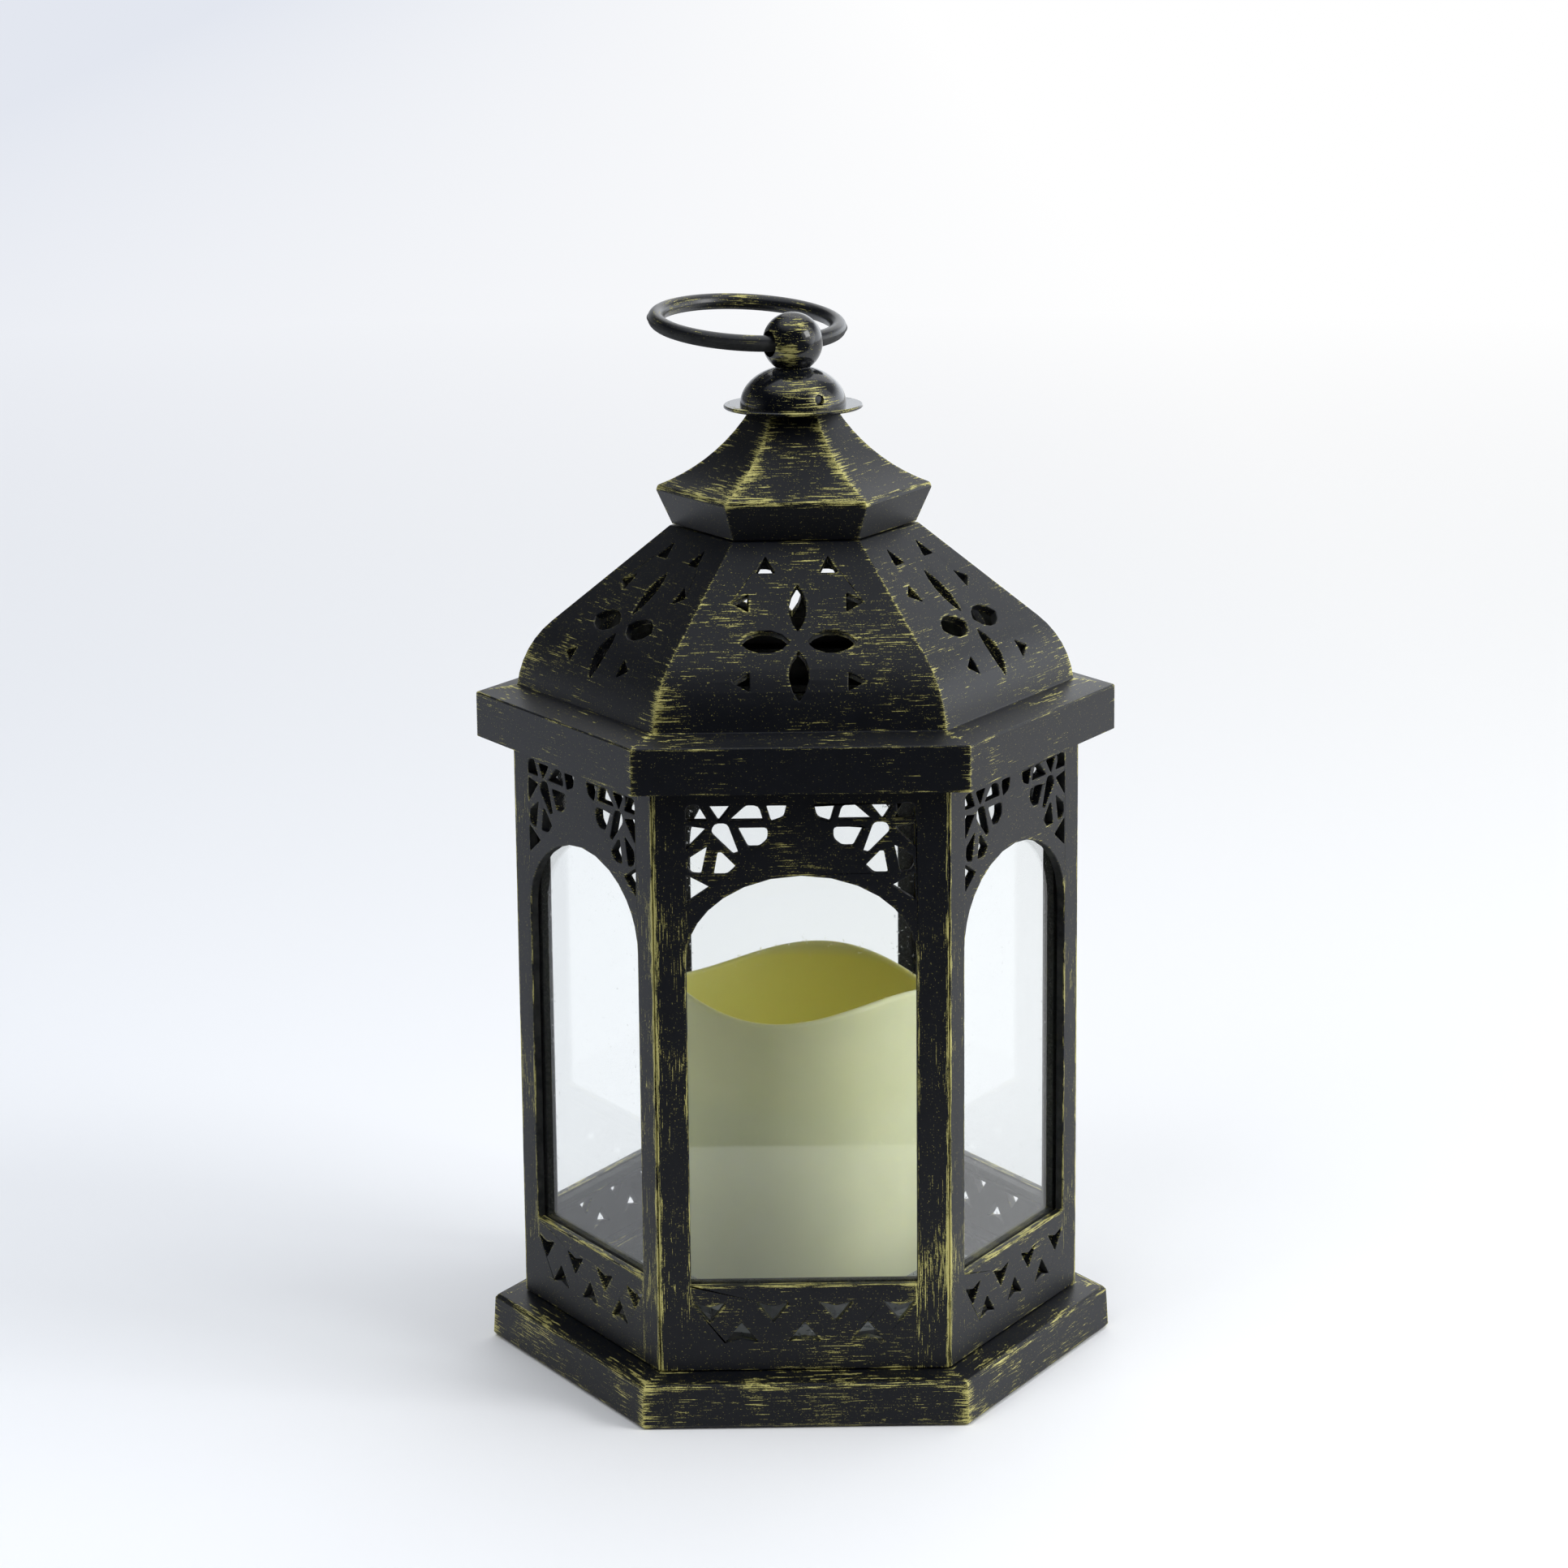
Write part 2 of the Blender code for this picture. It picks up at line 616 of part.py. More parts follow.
def cut_mitres(panel):
    """Trim both upright edges to the planes between neighbouring panels."""
    far = 2 * FOOT_R
    for sign in (-1, 1):
        wedge = box("mitre", (PANEL_GAP / -2, -far, -OVERRUN), (far, far, PANEL_TOP + OVERRUN))
        turn = about_axis(math.pi / SIDES * sign)
        if sign < 0:
            turn = turn @ about_axis(math.pi)
        wedge.matrix_world = turn
        cut(panel, wedge)


def side_panels(materials):
    """Six mitred panels: an arched front plate with darts and fretwork, and ribs behind it."""
    half = BODY_R / 2
    panel = box("side_panel", (-half, -PANEL_APOTHEM, PANEL_Z),
                (half, PANEL_DEPTH - PANEL_APOTHEM, PANEL_TOP), materials["painted"])
    cut(panel, panel_layer("panel_trays", [
        rectangle(EDGE_RIB_X, PANEL_Z + SOLE_H, SHELF_Z),
        rectangle(EDGE_RIB_X, TRAY_LOW, HEAD_RIB_Z),
        rectangle(EDGE_RIB_X, HEAD_RIB_Z + HEAD_RIB_T, PANEL_TOP - HEAD_RIB_T),
    ], PANEL_T, PANEL_DEPTH + OVERRUN))
    openings = [window_outline()] + fretwork()
    openings += dart_row(UPPER_DARTS, UPPER_DARTS_Z, UPPER_DARTS_Z - DART_H)
    openings += dart_row(LOWER_DARTS, LOWER_DARTS_Z, LOWER_DARTS_Z + DART_H)
    cut(panel, panel_layer("panel_openings", openings, -OVERRUN, PANEL_T + OVERRUN))
    for sign in (-1, 1):
        tab = panel_layer("panel_tab", [
            [(x + sign * TAB_X, z) for x, z in
             rectangle(TAB_W / 2, PANEL_Z - TAB_DROP, PANEL_Z + SOLE_H / 2)]],
            tab_depth(), tab_depth() + TAB_T)
        join(panel, tab)
    cut_mitres(panel)
    six_times(panel, "side_panel")


def tab_depth():
    """Depth of the tabs' front face behind the panel's face."""
    return (PANEL_T + PANEL_DEPTH - TAB_T) / 2


def window_panes(materials):
    """Six clear panes, each in the tray behind its panel's front plate."""
    front = PANEL_T + SEAT
    pane = panel_layer("window_pane", [rectangle(PANE_HALF, PANE_LOW, PANE_TOP)],
                       front, front + PANE_T, materials["clear"])
    six_times(pane, "window_pane")


def pane_retainers(materials):
    """Six frames that press into the trays and hold the panes."""
    frame = panel_layer("pane_retainer", [
        rectangle(PANE_HALF, PANE_LOW, PANE_TOP),
        rectangle(WINDOW_HALF, SILL_Z, PANE_TOP - RETAINER_TOP_BAR),
    ], RETAINER_FRONT, PANEL_DEPTH, materials["raw"])
    six_times(frame, "pane_retainer")


def base_plinth(materials):
    """Hollow foot with its deck, locating rib, collar, ribs, tab slots and screw holes."""
    wall = FOOT_WALL / COS30
    under = DECK_Z - DECK_T
    rib_inner = LOCATING_RIB_R - LOCATING_RIB_T / COS30
    rib_top = DECK_Z + LOCATING_RIB_H
    profile = [
        (0.0, DECK_Z), (rib_inner, DECK_Z), (rib_inner, rib_top), (LOCATING_RIB_R, rib_top),
        (LOCATING_RIB_R, DECK_Z), (BODY_R + FIT, DECK_Z), (FOOT_TOP_R - FOOT_EDGE, FOOT_H),
        (FOOT_TOP_R, FOOT_H - FOOT_EDGE), (FOOT_R, FOOT_EDGE), (FOOT_R - FOOT_EDGE, 0.0),
        (FOOT_R - wall, 0.0), (FOOT_TOP_R - wall, under), (0.0, under),
    ]
    plinth = turned("base_plinth", profile, SIDES, materials["painted"])
    collar_r = OPENING_R + COLLAR_T
    collar = turned("collar", [
        (collar_r, under + BITE), (collar_r, FOOT_RIB_Z),
        (OPENING_R - BITE, FOOT_RIB_Z), (OPENING_R - BITE, under + BITE)], HOUSING_STEPS)
    join(plinth, collar)
    for side in range(SIDES):
        rib = box("foot_rib", (OPENING_R + BITE, -FOOT_RIB_T / 2, FOOT_RIB_Z),
                  (FOOT_TOP_R * COS30 - FOOT_WALL + BITE, FOOT_RIB_T / 2, under + BITE))
        rib.matrix_world = about_axis((side + 0.5) * math.tau / SIDES)
        join(plinth, rib)
    cut(plinth, rod("deck_opening", OPENING_R, (0, 0, 0), (0, 0, rib_top), HOUSING_STEPS))
    slot_front = -PANEL_APOTHEM + tab_depth() - FIT
    for side in range(SIDES):
        for sign in (-1, 1):
            slot = box("tab_slot",
                       (sign * TAB_X - TAB_W / 2 - FIT, slot_front, under - OVERRUN),
                       (sign * TAB_X + TAB_W / 2 + FIT, slot_front + TAB_T + 2 * FIT,
                        DECK_Z + OVERRUN))
            slot.matrix_world = about_axis(side * math.tau / SIDES)
            cut(plinth, slot)
    for place in screw_places():
        cut(plinth, rod("screw_hole", SCREW_R + FIT, place + Vector((0, 0, under - OVERRUN)),
                        place + Vector((0, 0, DECK_Z + OVERRUN))))


def screw_places():
    """The housing screws' places round the axis, under corners of the foot."""
    return [about_axis(index * math.tau / SCREW_COUNT) @ Vector((SCREW_CIRCLE_R, 0, 0))
            for index in range(SCREW_COUNT)]


def battery_housing(materials):
    """Cup for the candle, flange on the deck, and the battery bay and switch pocket below."""
    flange_top = HOUSING_Z + HOUSING_FLANGE_T
    cup_r = CUP_INNER_R + CUP_T
    rim_z = HOUSING_TOP_Z + CUP_DEPTH
    inner_r = HOUSING_R - HOUSING_WALL
    housing = turned("battery_housing", [
        (0.0, HOUSING_TOP_Z), (CUP_INNER_R, HOUSING_TOP_Z), (CUP_INNER_R, rim_z),
        (cup_r, rim_z), (cup_r, flange_top), (HOUSING_FLANGE_R, flange_top),
        (HOUSING_FLANGE_R, HOUSING_Z), (HOUSING_R, HOUSING_Z), (HOUSING_R, HOUSING_SKIRT_Z),
        (inner_r, HOUSING_SKIRT_Z), (inner_r, CEILING_Z), (0.0, CEILING_Z),
    ], HOUSING_STEPS, materials["raw"])
    bay = Vector((BAY_X / 2, BAY_Y / 2, 0))
    wall = Vector((BAY_WALL, BAY_WALL, 0))
    up = Vector((0, 0, 1))
    join(housing, box("bay_walls", -bay - wall + up * UNDERSIDE_Z,
                      bay + wall + up * (CEILING_Z + BITE)))
    pocket = SWITCH_BODY.xy / 2 + Vector((FIT, FIT))
    switch_at = Vector((0, SWITCH_Y))
    shell = Vector((SWITCH_WALL, SWITCH_WALL))
    join(housing, box("switch_walls", (*(switch_at - pocket - shell), UNDERSIDE_Z),
                      (*(switch_at + pocket + shell), CEILING_Z + BITE)))
    for place in screw_places():
        join(housing, rod("boss", BOSS_R, place + up * (flange_top - BITE),
                          place + up * (HOUSING_Z + SCREW_GRIP + 2 * OVERRUN)))
    cut(housing, box("bay", -bay, bay + up * CEILING_Z))
    groove = bay + Vector((0, TONGUE_W + FIT, 0))
    end = bay.x + BAY_WALL + OVERRUN
    cut(housing, box("door_way", (0, -bay.y, 0), (end, bay.y, DOOR_TOP_Z + FIT)))
    cut(housing, box("door_groove", (-bay.x, -groove.y, DOOR_TOP_Z - TONGUE_T - FIT),
                     (end, groove.y, DOOR_TOP_Z + FIT)))
    for x in TONGUE_X:
        reach = Vector((TONGUE_L / 2 + FIT, groove.y, 0))
        middle = Vector((x + DOOR_TRAVEL, 0, 0))
        cut(housing, box("door_notch", middle - reach, middle + reach + up * DOOR_TOP_Z))
    floor_z = UNDERSIDE_Z + SWITCH_FLOOR_T
    cut(housing, box("switch_pocket", (*(switch_at - pocket), floor_z),
                     (*(switch_at + pocket), HOUSING_TOP_Z + OVERRUN)))
    slot = Vector((SLIDER_X / 2 + SLIDER_TRAVEL + FIT, SLIDER_Y / 2 + FIT))
    cut(housing, box("slider_slot", (*(switch_at - slot), 0.0),
                     (*(switch_at + slot), floor_z + OVERRUN)))
    for place in screw_places():
        cut(housing, rod("pilot", SCREW_R + FIT, place, place + up * (HOUSING_Z + SCREW_GRIP)))


def housing_screws(materials):
    """Self-tapping screws from under the deck into the flange's bosses."""
    head_top = DECK_Z - DECK_T - SEAT
    for index, place in enumerate(screw_places()):
        screw = turned(f"housing_screw_{index + 1}", [
            (0.0, HOUSING_Z + SCREW_GRIP - SEAT), (SCREW_R, HOUSING_Z + SCREW_GRIP - 2 * SCREW_R),
            (SCREW_R, head_top), (SCREW_HEAD_R, head_top),
            (SCREW_HEAD_R, head_top - SCREW_HEAD_T / 2), (SCREW_R, head_top - SCREW_HEAD_T),
            (0.0, head_top - SCREW_HEAD_T),
        ], SMALL_STEPS, materials["steel"])
        screw.location = place


def battery_door(materials):
    """Sliding door with side tongues and finger ridges; its origin is at its own middle."""
    half = Vector((BAY_X / 2 - FIT, BAY_Y / 2 - FIT, 0))
    top = Vector((0, 0, DOOR_T))
    door = box("battery_door", -half, half + top, materials["raw"])
    door.location = (0, 0, UNDERSIDE_Z)
    reach = half.y + TONGUE_W
    for x in TONGUE_X:
        tongue = box("door_tongue", (x - TONGUE_L / 2, -reach, DOOR_T - TONGUE_T),
                     (x + TONGUE_L / 2, reach, DOOR_T))
        tongue.location = door.location
        join(door, tongue)
    for index in range(DOOR_RIDGES):
        x = half.x - (index + 1.5) * DOOR_RIDGE_PITCH
        ridge = box("door_ridge", (x - DOOR_RIDGE_T / 2, -DOOR_RIDGE_W / 2, -DOOR_RIDGE_H),
                    (x + DOOR_RIDGE_T / 2, DOOR_RIDGE_W / 2, DOOR_T / 2))
        ridge.location = door.location
        join(door, ridge)


def nub_side(index):
    """Cells lie head to tail: which end, +X or -X, the nub of a cell points to."""
    return 1 if index % 2 == 0 else -1


def cell_y(index):
    return (index - (CELL_COUNT - 1) / 2) * CELL_PITCH


def batteries(materials):
    """Three cells side by side in the bay."""
    inner = BAY_X / 2 - FIT - CONTACT_T
    for index in range(CELL_COUNT):
        cell = turned(f"battery_{index + 1}", [
            (0.0, CELL_L), (CELL_NUB_R, CELL_L), (CELL_NUB_R, CELL_L - CELL_NUB_H),
            (CELL_R, CELL_L - CELL_NUB_H), (CELL_R, 0.0), (0.0, 0.0),
        ], CELL_STEPS, materials["cell"])
        side = nub_side(index)
        start = Vector((side * (inner - SEAT - CELL_L), cell_y(index), CELL_Z))
        cell.matrix_world = Matrix.Translation(start) @ Matrix.Rotation(side * math.pi / 2, 4, "Y")


def contact_strips(materials):
    """A plate at each end of the bay, with a coned spring for each cell's flat end."""
    outer = BAY_X / 2 - FIT
    inner = outer - CONTACT_T
    for name, end in (("contact_strip_left", -1), ("contact_strip_right", 1)):
        ends = sorted((end * inner, end * outer))
        strip = box(name, (ends[0], -(BAY_Y / 2 - FIT), CELL_Z - CONTACT_H / 2),
                    (ends[1], BAY_Y / 2 - FIT, CELL_Z + CONTACT_H / 2), materials["steel"])
        length = 2 * inner - CELL_L - 2 * SEAT
        for index in range(CELL_COUNT):
            if nub_side(index) == end:
                continue
            spring = turned("spring", [
                (0.0, length), (SPRING_TIP_R, length), (SPRING_FOOT_R, 0.0),
                (SPRING_FOOT_R, -CONTACT_T / 2), (0.0, -CONTACT_T / 2)], CELL_STEPS)
            spring.matrix_world = (Matrix.Translation((end * inner, cell_y(index), CELL_Z))
                                   @ Matrix.Rotation(-end * math.pi / 2, 4, "Y"))
            join(strip, spring)


def power_switch(materials):
    """Slide switch: its body in the pocket, and the slider, whose origin is on its travel."""
    floor_z = UNDERSIDE_Z + SWITCH_FLOOR_T
    low = floor_z + SEAT
    half = SWITCH_BODY / 2
    switch = box("power_switch", (-half.x, SWITCH_Y - half.y, low),
                 (half.x, SWITCH_Y + half.y, low + SWITCH_BODY.z), materials["switch"])
    stem = SLIDER_STEM / 2
    stem_z = low + SLIDER_STEM_H
    cut(switch, box("stem_slot",
                    (-stem - SLIDER_TRAVEL - FIT, SWITCH_Y - stem - FIT, floor_z),
                    (stem + SLIDER_TRAVEL + FIT, SWITCH_Y + stem + FIT, stem_z + FIT)))
    grip = Vector((SLIDER_X / 2, SLIDER_Y / 2, 0))
    slider = box("switch_slider", -grip, grip + Vector((0, 0, floor_z - SLIDER_TIP_Z)),
                 materials["switch"])
    slider.location = (0, SWITCH_Y, SLIDER_TIP_Z)
    pin = box("slider_stem", (-stem, -stem, 0), (stem, stem, stem_z - SLIDER_TIP_Z))
    pin.location = slider.location
    join(slider, pin)


def timer_board(materials):
    """Circuit board with its chip, on the housing under the candle."""
    half = Vector((TIMER_BOARD.x / 2, TIMER_BOARD.y / 2, 0))
    middle = Vector((0, TIMER_BOARD_Y, HOUSING_TOP_Z + SEAT))
    board = box("timer_board", middle - half, middle + half + Vector((0, 0, TIMER_BOARD.z)),
                materials["board"])
    chip = Vector((TIMER_CHIP.x / 2, TIMER_CHIP.y / 2, 0))
    join(board, box("chip", middle - chip + Vector((0, 0, TIMER_BOARD.z / 2)),
                    middle + chip + Vector((0, 0, TIMER_BOARD.z + TIMER_CHIP.z))))


def light(materials):
    """Post, board, lamp and the flame tip that shows in the candle's recess."""
    foot_z = HOUSING_TOP_Z + SEAT
    turned("led_post", [
        (POST_R, POST_TOP_Z), (POST_R, foot_z + POST_FOOT_T), (POST_FOOT_R, foot_z + POST_FOOT_T),
        (POST_FOOT_R, foot_z), (POST_R - POST_WALL, foot_z), (POST_R - POST_WALL, POST_TOP_Z),
    ], SMALL_STEPS, materials["raw"])
    board_z = POST_TOP_Z + SEAT
    rod("led_board", POST_R, (0, 0, board_z), (0, 0, LED_BOARD_TOP_Z), SMALL_STEPS,
        materials["board"])
    led_z = LED_BOARD_TOP_Z + SEAT
    top = led_z + LED_H
    dome = [(LED_R * math.sin(angle), top - LED_R + LED_R * math.cos(angle))
            for angle in (0.0, math.radians(30), math.radians(60))]
    turned("led", dome + [
        (LED_R, top - LED_R), (LED_R, led_z + LED_FLANGE_T), (LED_FLANGE_R, led_z + LED_FLANGE_T),
        (LED_FLANGE_R, led_z), (0.0, led_z)], CELL_STEPS, materials["led"])
    flame_top = RECESS_Z + FLAME_RISE
    belly_z = RECESS_Z + FLAME_WALL
    skin = FLAME_R - FLAME_WALL
    turned("flame_tip", [
        (0.0, flame_top), (FLAME_R * 0.36, flame_top - FLAME_RISE * 0.22),
        (FLAME_R * 0.78, belly_z + FLAME_RISE * 0.3), (FLAME_R, belly_z),
        (FLAME_R, FLAME_FOOT_Z + FLAME_FOOT_T), (FLAME_FOOT_R, FLAME_FOOT_Z + FLAME_FOOT_T),
        (FLAME_FOOT_R, FLAME_FOOT_Z), (skin, FLAME_FOOT_Z), (skin, belly_z),
        (skin * 0.7, belly_z + FLAME_RISE * 0.3), (0.0, flame_top - FLAME_RISE * 0.4),
    ], CELL_STEPS, materials["frosted"])


def candle_shell(materials):
    """Hollow pillar with a recess; its rounded rim is drawn into three soft waves."""
    inner = CANDLE_R - CANDLE_WALL
    half = CANDLE_WALL / 2
    hole = FLAME_R + FIT
    wave_from = CANDLE_RIM_Z - CANDLE_WEB_DEPTH / 2
    candle = turned("candle_shell", [
        (CANDLE_R - half, CANDLE_RIM_Z), (CANDLE_R - half * 0.3, CANDLE_RIM_Z - CANDLE_LIP * 0.3),
        (CANDLE_R, CANDLE_RIM_Z - CANDLE_LIP), (CANDLE_R, wave_from), (CANDLE_R, CANDLE_Z),
        (inner, CANDLE_Z), (inner, WEB_UNDER_Z), (hole, WEB_UNDER_Z), (hole, RECESS_Z),
        (inner, RECESS_Z), (inner, wave_from), (inner, CANDLE_RIM_Z - CANDLE_LIP),
        (inner + half * 0.3, CANDLE_RIM_Z - CANDLE_LIP * 0.3),
    ], CANDLE_STEPS, materials["wax"])
    mesh = settled_mesh(candle)
    for vertex in mesh.vertices:
        share = (vertex.co.z - wave_from) / (CANDLE_RIM_Z - wave_from)
        if share > 0:
            angle = math.atan2(vertex.co.y, vertex.co.x)
            lift = CANDLE_WAVE * math.cos(CANDLE_LOBES * (angle - CANDLE_CREST))
            vertex.co.z += lift * min(1.0, share)
    candle.modifiers.clear()
    candle.data = mesh


def lens(centre, length, width, along):
    """A petal with two pointed ends: two arcs on one chord."""
    half = length / 2
    rise = width / 2
    radius = (half * half + rise * rise) / (2 * rise)
    spread = math.asin(half / radius)
    across = Vector((-along.y, along.x))
    outline = []
    for side in (1, -1):
        for step in range(PETAL_STEPS):
            angle = spread * (1 - 2 * step / PETAL_STEPS)
            forward = radius * math.sin(angle) * side
            sideways = (radius * math.cos(angle) - (radius - rise)) * side
            point = centre - along * forward + across * sideways
            outline.append((point.x, point.y))
    return outline


def dome_face_openings():
    """Four petals and six triangles of one face, in coordinates on its slope."""
    upward = Vector((0, 1))
    level = Vector((1, 0))
    openings = [
        lens(Vector((0, PETAL_TOP_RISE + PETAL_TOP_LENGTH / 2)), PETAL_TOP_LENGTH,
             PETAL_TOP_WIDTH, upward),
        lens(Vector((0, PETAL_LOW_RISE - PETAL_LOW_LENGTH / 2)), PETAL_LOW_LENGTH,
             PETAL_LOW_WIDTH, upward),
    ]
    right = [
        lens(Vector((PETAL_GAP + PETAL_SIDE_LENGTH / 2, PETAL_SIDE_RISE)), PETAL_SIDE_LENGTH,
             PETAL_SIDE_WIDTH, level),
        [(CROWN_TRI_X - CROWN_TRI_HALF, CROWN_TRI_RISE),
         (CROWN_TRI_X + CROWN_TRI_HALF, CROWN_TRI_RISE),
         (CROWN_TRI_X, CROWN_TRI_RISE + CROWN_TRI_H)],
    ]
    for rise, half in ((TRI_UP_RISE, TRI_UP_HALF), (TRI_LOW_RISE, TRI_LOW_HALF)):
        right.append([(TRI_X, rise - half), (TRI_X + TRI_POINT, rise), (TRI_X, rise + half)])
    return openings + right + [mirrored(outline) for outline in right]


def dome_face_placement(side):
    """Lays an outline on a dome face's slope, with local Z square to it."""
    incline = math.atan2(math.tan(DOME_SLOPE), COS30)
    foot = Matrix.Translation((0, -SLOPE_R * COS30, SLOPE_Z))
    return about_axis(side * math.tau / SIDES) @ foot @ Matrix.Rotation(incline, 4, "X")


def roof(materials):
    """Brim, shouldered dome and the neck for the cap, with pierced faces."""
    spigot_top = NECK_Z + SPIGOT_H
    outer = [(NECK_SPIGOT_R, spigot_top), (NECK_SPIGOT_R, NECK_Z), (NECK_LEDGE_R, NECK_Z)]
    outer += SHOULDER
    outer += [(BRIM_TOP_R, BRIM_TOP_Z), (BRIM_R, BRIM_TOP_Z - BRIM_EDGE), (BRIM_R, BRIM_Z)]
    inner = offset_inward(outer, ROOF_WALL)
    shell = turned("roof", outer + inner[::-1], SIDES, materials["painted"])
    rib_inner = BODY_R + FIT / COS30
    rib_outer = rib_inner + BRIM_RIB_T / COS30
    rib = turned("brim_rib", [
        (rib_outer, BRIM_TOP_Z), (rib_outer, PANEL_TOP - BRIM_RIB_DROP),
        (rib_inner, PANEL_TOP - BRIM_RIB_DROP), (rib_inner, BRIM_TOP_Z),
    ], SIDES)
    join(shell, rib)
    depth = ROOF_WALL * 3
    for side in range(SIDES):
        cut(shell, plate("dome_openings", dome_face_openings(), -depth, depth,
                         dome_face_placement(side)))


def roof_cap(materials):
    """Bell with an undercut skirt and a concave flare, closed by a plate with the finial's hole."""
    eave_z = CAP_Z + CAP_EAVE_RISE
    lip_z = eave_z + CAP_EAVE_EDGE
    end = Vector((CAP_EAVE_R - CAP_EAVE_EDGE / 3, lip_z))
    start = Vector((CAP_TOP_R, CAP_TOP_Z))
    chord = end - start
    sag = math.sqrt(CAP_FLARE_R ** 2 - (chord.length / 2) ** 2)
    outward = Vector((-chord.y, chord.x)).normalized()
    centre = (start + end) / 2 + outward * sag
    first = start - centre
    sweep = first.angle_signed(end - centre)
    flare = []
    for step in range(CAP_FLARE_STEPS + 1):
        turn = -sweep * step / CAP_FLARE_STEPS
        flare.append((centre.x + first.x * math.cos(turn) - first.y * math.sin(turn),
                      centre.y + first.x * math.sin(turn) + first.y * math.cos(turn)))
    outer = flare + [(CAP_EAVE_R, eave_z), (CAP_FOOT_R, CAP_Z)]
    inner = offset_inward([(0.0, CAP_TOP_Z)] + outer, CAP_WALL)
    bell = turned("roof_cap", [(0.0, CAP_TOP_Z)] + outer + inner[:0:-1] + [(0.0, inner[0][1])],
                  SIDES, materials["painted"])
    cut(bell, rod("finial_hole", SPIGOT_R + FIT, (0, 0, CAP_TOP_Z - 2 * CAP_WALL),
                  (0, 0, CAP_TOP_Z + OVERRUN), TURN_STEPS))
    cut(bell, rod("lip_seat", LIP_R + FIT, (0, 0, CAP_TOP_Z - 3 * CAP_WALL),
                  (0, 0, CAP_TOP_Z - CAP_WALL), TURN_STEPS))


def finial_profile():
    """Ball on a domed knob, flange, spigot through the cap and the lip under it."""
    neck_r = math.sqrt(max(0.0, BALL_R ** 2 - (BALL_RISE - KNOB_H) ** 2))
    neck_angle = math.pi - math.asin(min(1.0, neck_r / BALL_R))
    points = []
    for step in range(BALL_STEPS + 1):
        angle = neck_angle * step / BALL_STEPS
        radius = BALL_R * math.sin(angle) if step else 0.0
        points.append((radius, BALL_Z + BALL_R * math.cos(angle)))
    meet = math.asin(min(1.0, points[-1][0] / KNOB_R))
    for step in range(1, KNOB_STEPS + 1):
        angle = meet + (math.pi / 2 - meet) * step / KNOB_STEPS
        points.append((KNOB_R * math.sin(angle), KNOB_Z + KNOB_H * math.cos(angle)))
    lip_low = LIP_TOP_Z - LIP_H
    return points + [
        (FLANGE_R, KNOB_Z), (FLANGE_R, FLANGE_Z), (SPIGOT_R, FLANGE_Z), (SPIGOT_R, LIP_TOP_Z),
        (LIP_R, LIP_TOP_Z), (LIP_R, lip_low), (0.0, lip_low)]


def pin_surface():
    """Distance from the axis to the knob's surface at the pin's height."""
    return KNOB_R * math.sqrt(1 - (PIN_RISE / KNOB_H) ** 2)


def finial(materials):
    """Two half shells, split along the ring's bore and drawn together by the pin."""
    across = about_axis(SPLIT_ANGLE) @ Vector((1, 0, 0))
    forward = about_axis(SPLIT_ANGLE - math.pi / 2) @ Vector((1, 0, 0))
    pin_at = Vector((0, 0, KNOB_Z + PIN_RISE))
    head_seat = pin_surface() - PIN_SUNK - PIN_HEAD_T - SEAT
    far = 2 * FLANGE_R
    for name, side in (("finial_front_half", -1), ("finial_rear_half", 1)):
        half = turned(name, finial_profile(), TURN_STEPS, materials["painted"])
        ends = sorted((side * SEAT / 2, -side * far))
        waste = box("other_half", (-far, ends[0], 0.0), (far, ends[1], BALL_Z + far))
        waste.matrix_world = about_axis(SPLIT_ANGLE)
        cut(half, waste)
        middle = Vector((0, 0, BALL_Z))
        cut(half, rod("ring_bore", RING_BORE_R, middle - across * far, middle + across * far))
        cut(half, rod("pin_bore", PIN_R + FIT, pin_at - forward * (PIN_TAIL + FIT),
                      pin_at + forward * far, CELL_STEPS))
        cut(half, rod("pin_recess", PIN_HEAD_R + FIT, pin_at + forward * head_seat,
                      pin_at + forward * far, CELL_STEPS))
    length = PIN_TAIL + head_seat + SEAT + PIN_HEAD_T
    pin = turned("finial_pin", [
        (0.0, length), (PIN_HEAD_R, length), (PIN_HEAD_R, length - PIN_HEAD_T),
        (PIN_R, length - PIN_HEAD_T), (PIN_R, 0.0), (0.0, 0.0)], CELL_STEPS, materials["steel"])
    turn = Vector((0, 0, 1)).rotation_difference(forward).to_matrix().to_4x4()
    pin.matrix_world = Matrix.Translation(pin_at - forward * PIN_TAIL) @ turn


def ring_handle(materials):
    """Ring through the ball; its origin is on the bore's axis, about which it swings."""
    shape = bmesh.new()
    mesh = bpy.data.meshes.new("ring_handle")
    bmesh.ops.create_circle(shape, cap_ends=False, radius=RING_TUBE_R, segments=8)
    bmesh.ops.transform(shape, verts=shape.verts,
                        matrix=Matrix.Translation((RING_R, 0, 0)) @ Matrix.Rotation(math.pi / 2,
                                                                                     4, "X"))
    shape.to_mesh(mesh)
    shape.free()
    ring = add_object("ring_handle", mesh, materials["painted"])
    screw = ring.modifiers.new("turn", "SCREW")
    screw.steps = 36
    screw.render_steps = 36
    screw.use_merge_vertices = True
    screw.merge_threshold = 0.000001
    swept = settled_mesh(ring)
    ring.modifiers.clear()
    ring.data = swept
    swept.transform(Matrix.Translation((RING_R - RING_INSET, 0, 0)))
    lift = Matrix.Rotation(-RING_LIFT, 4, "Y")
    ring.matrix_world = (Matrix.Translation((0, 0, BALL_Z))
                         @ about_axis(SPLIT_ANGLE + math.pi / 2) @ lift)


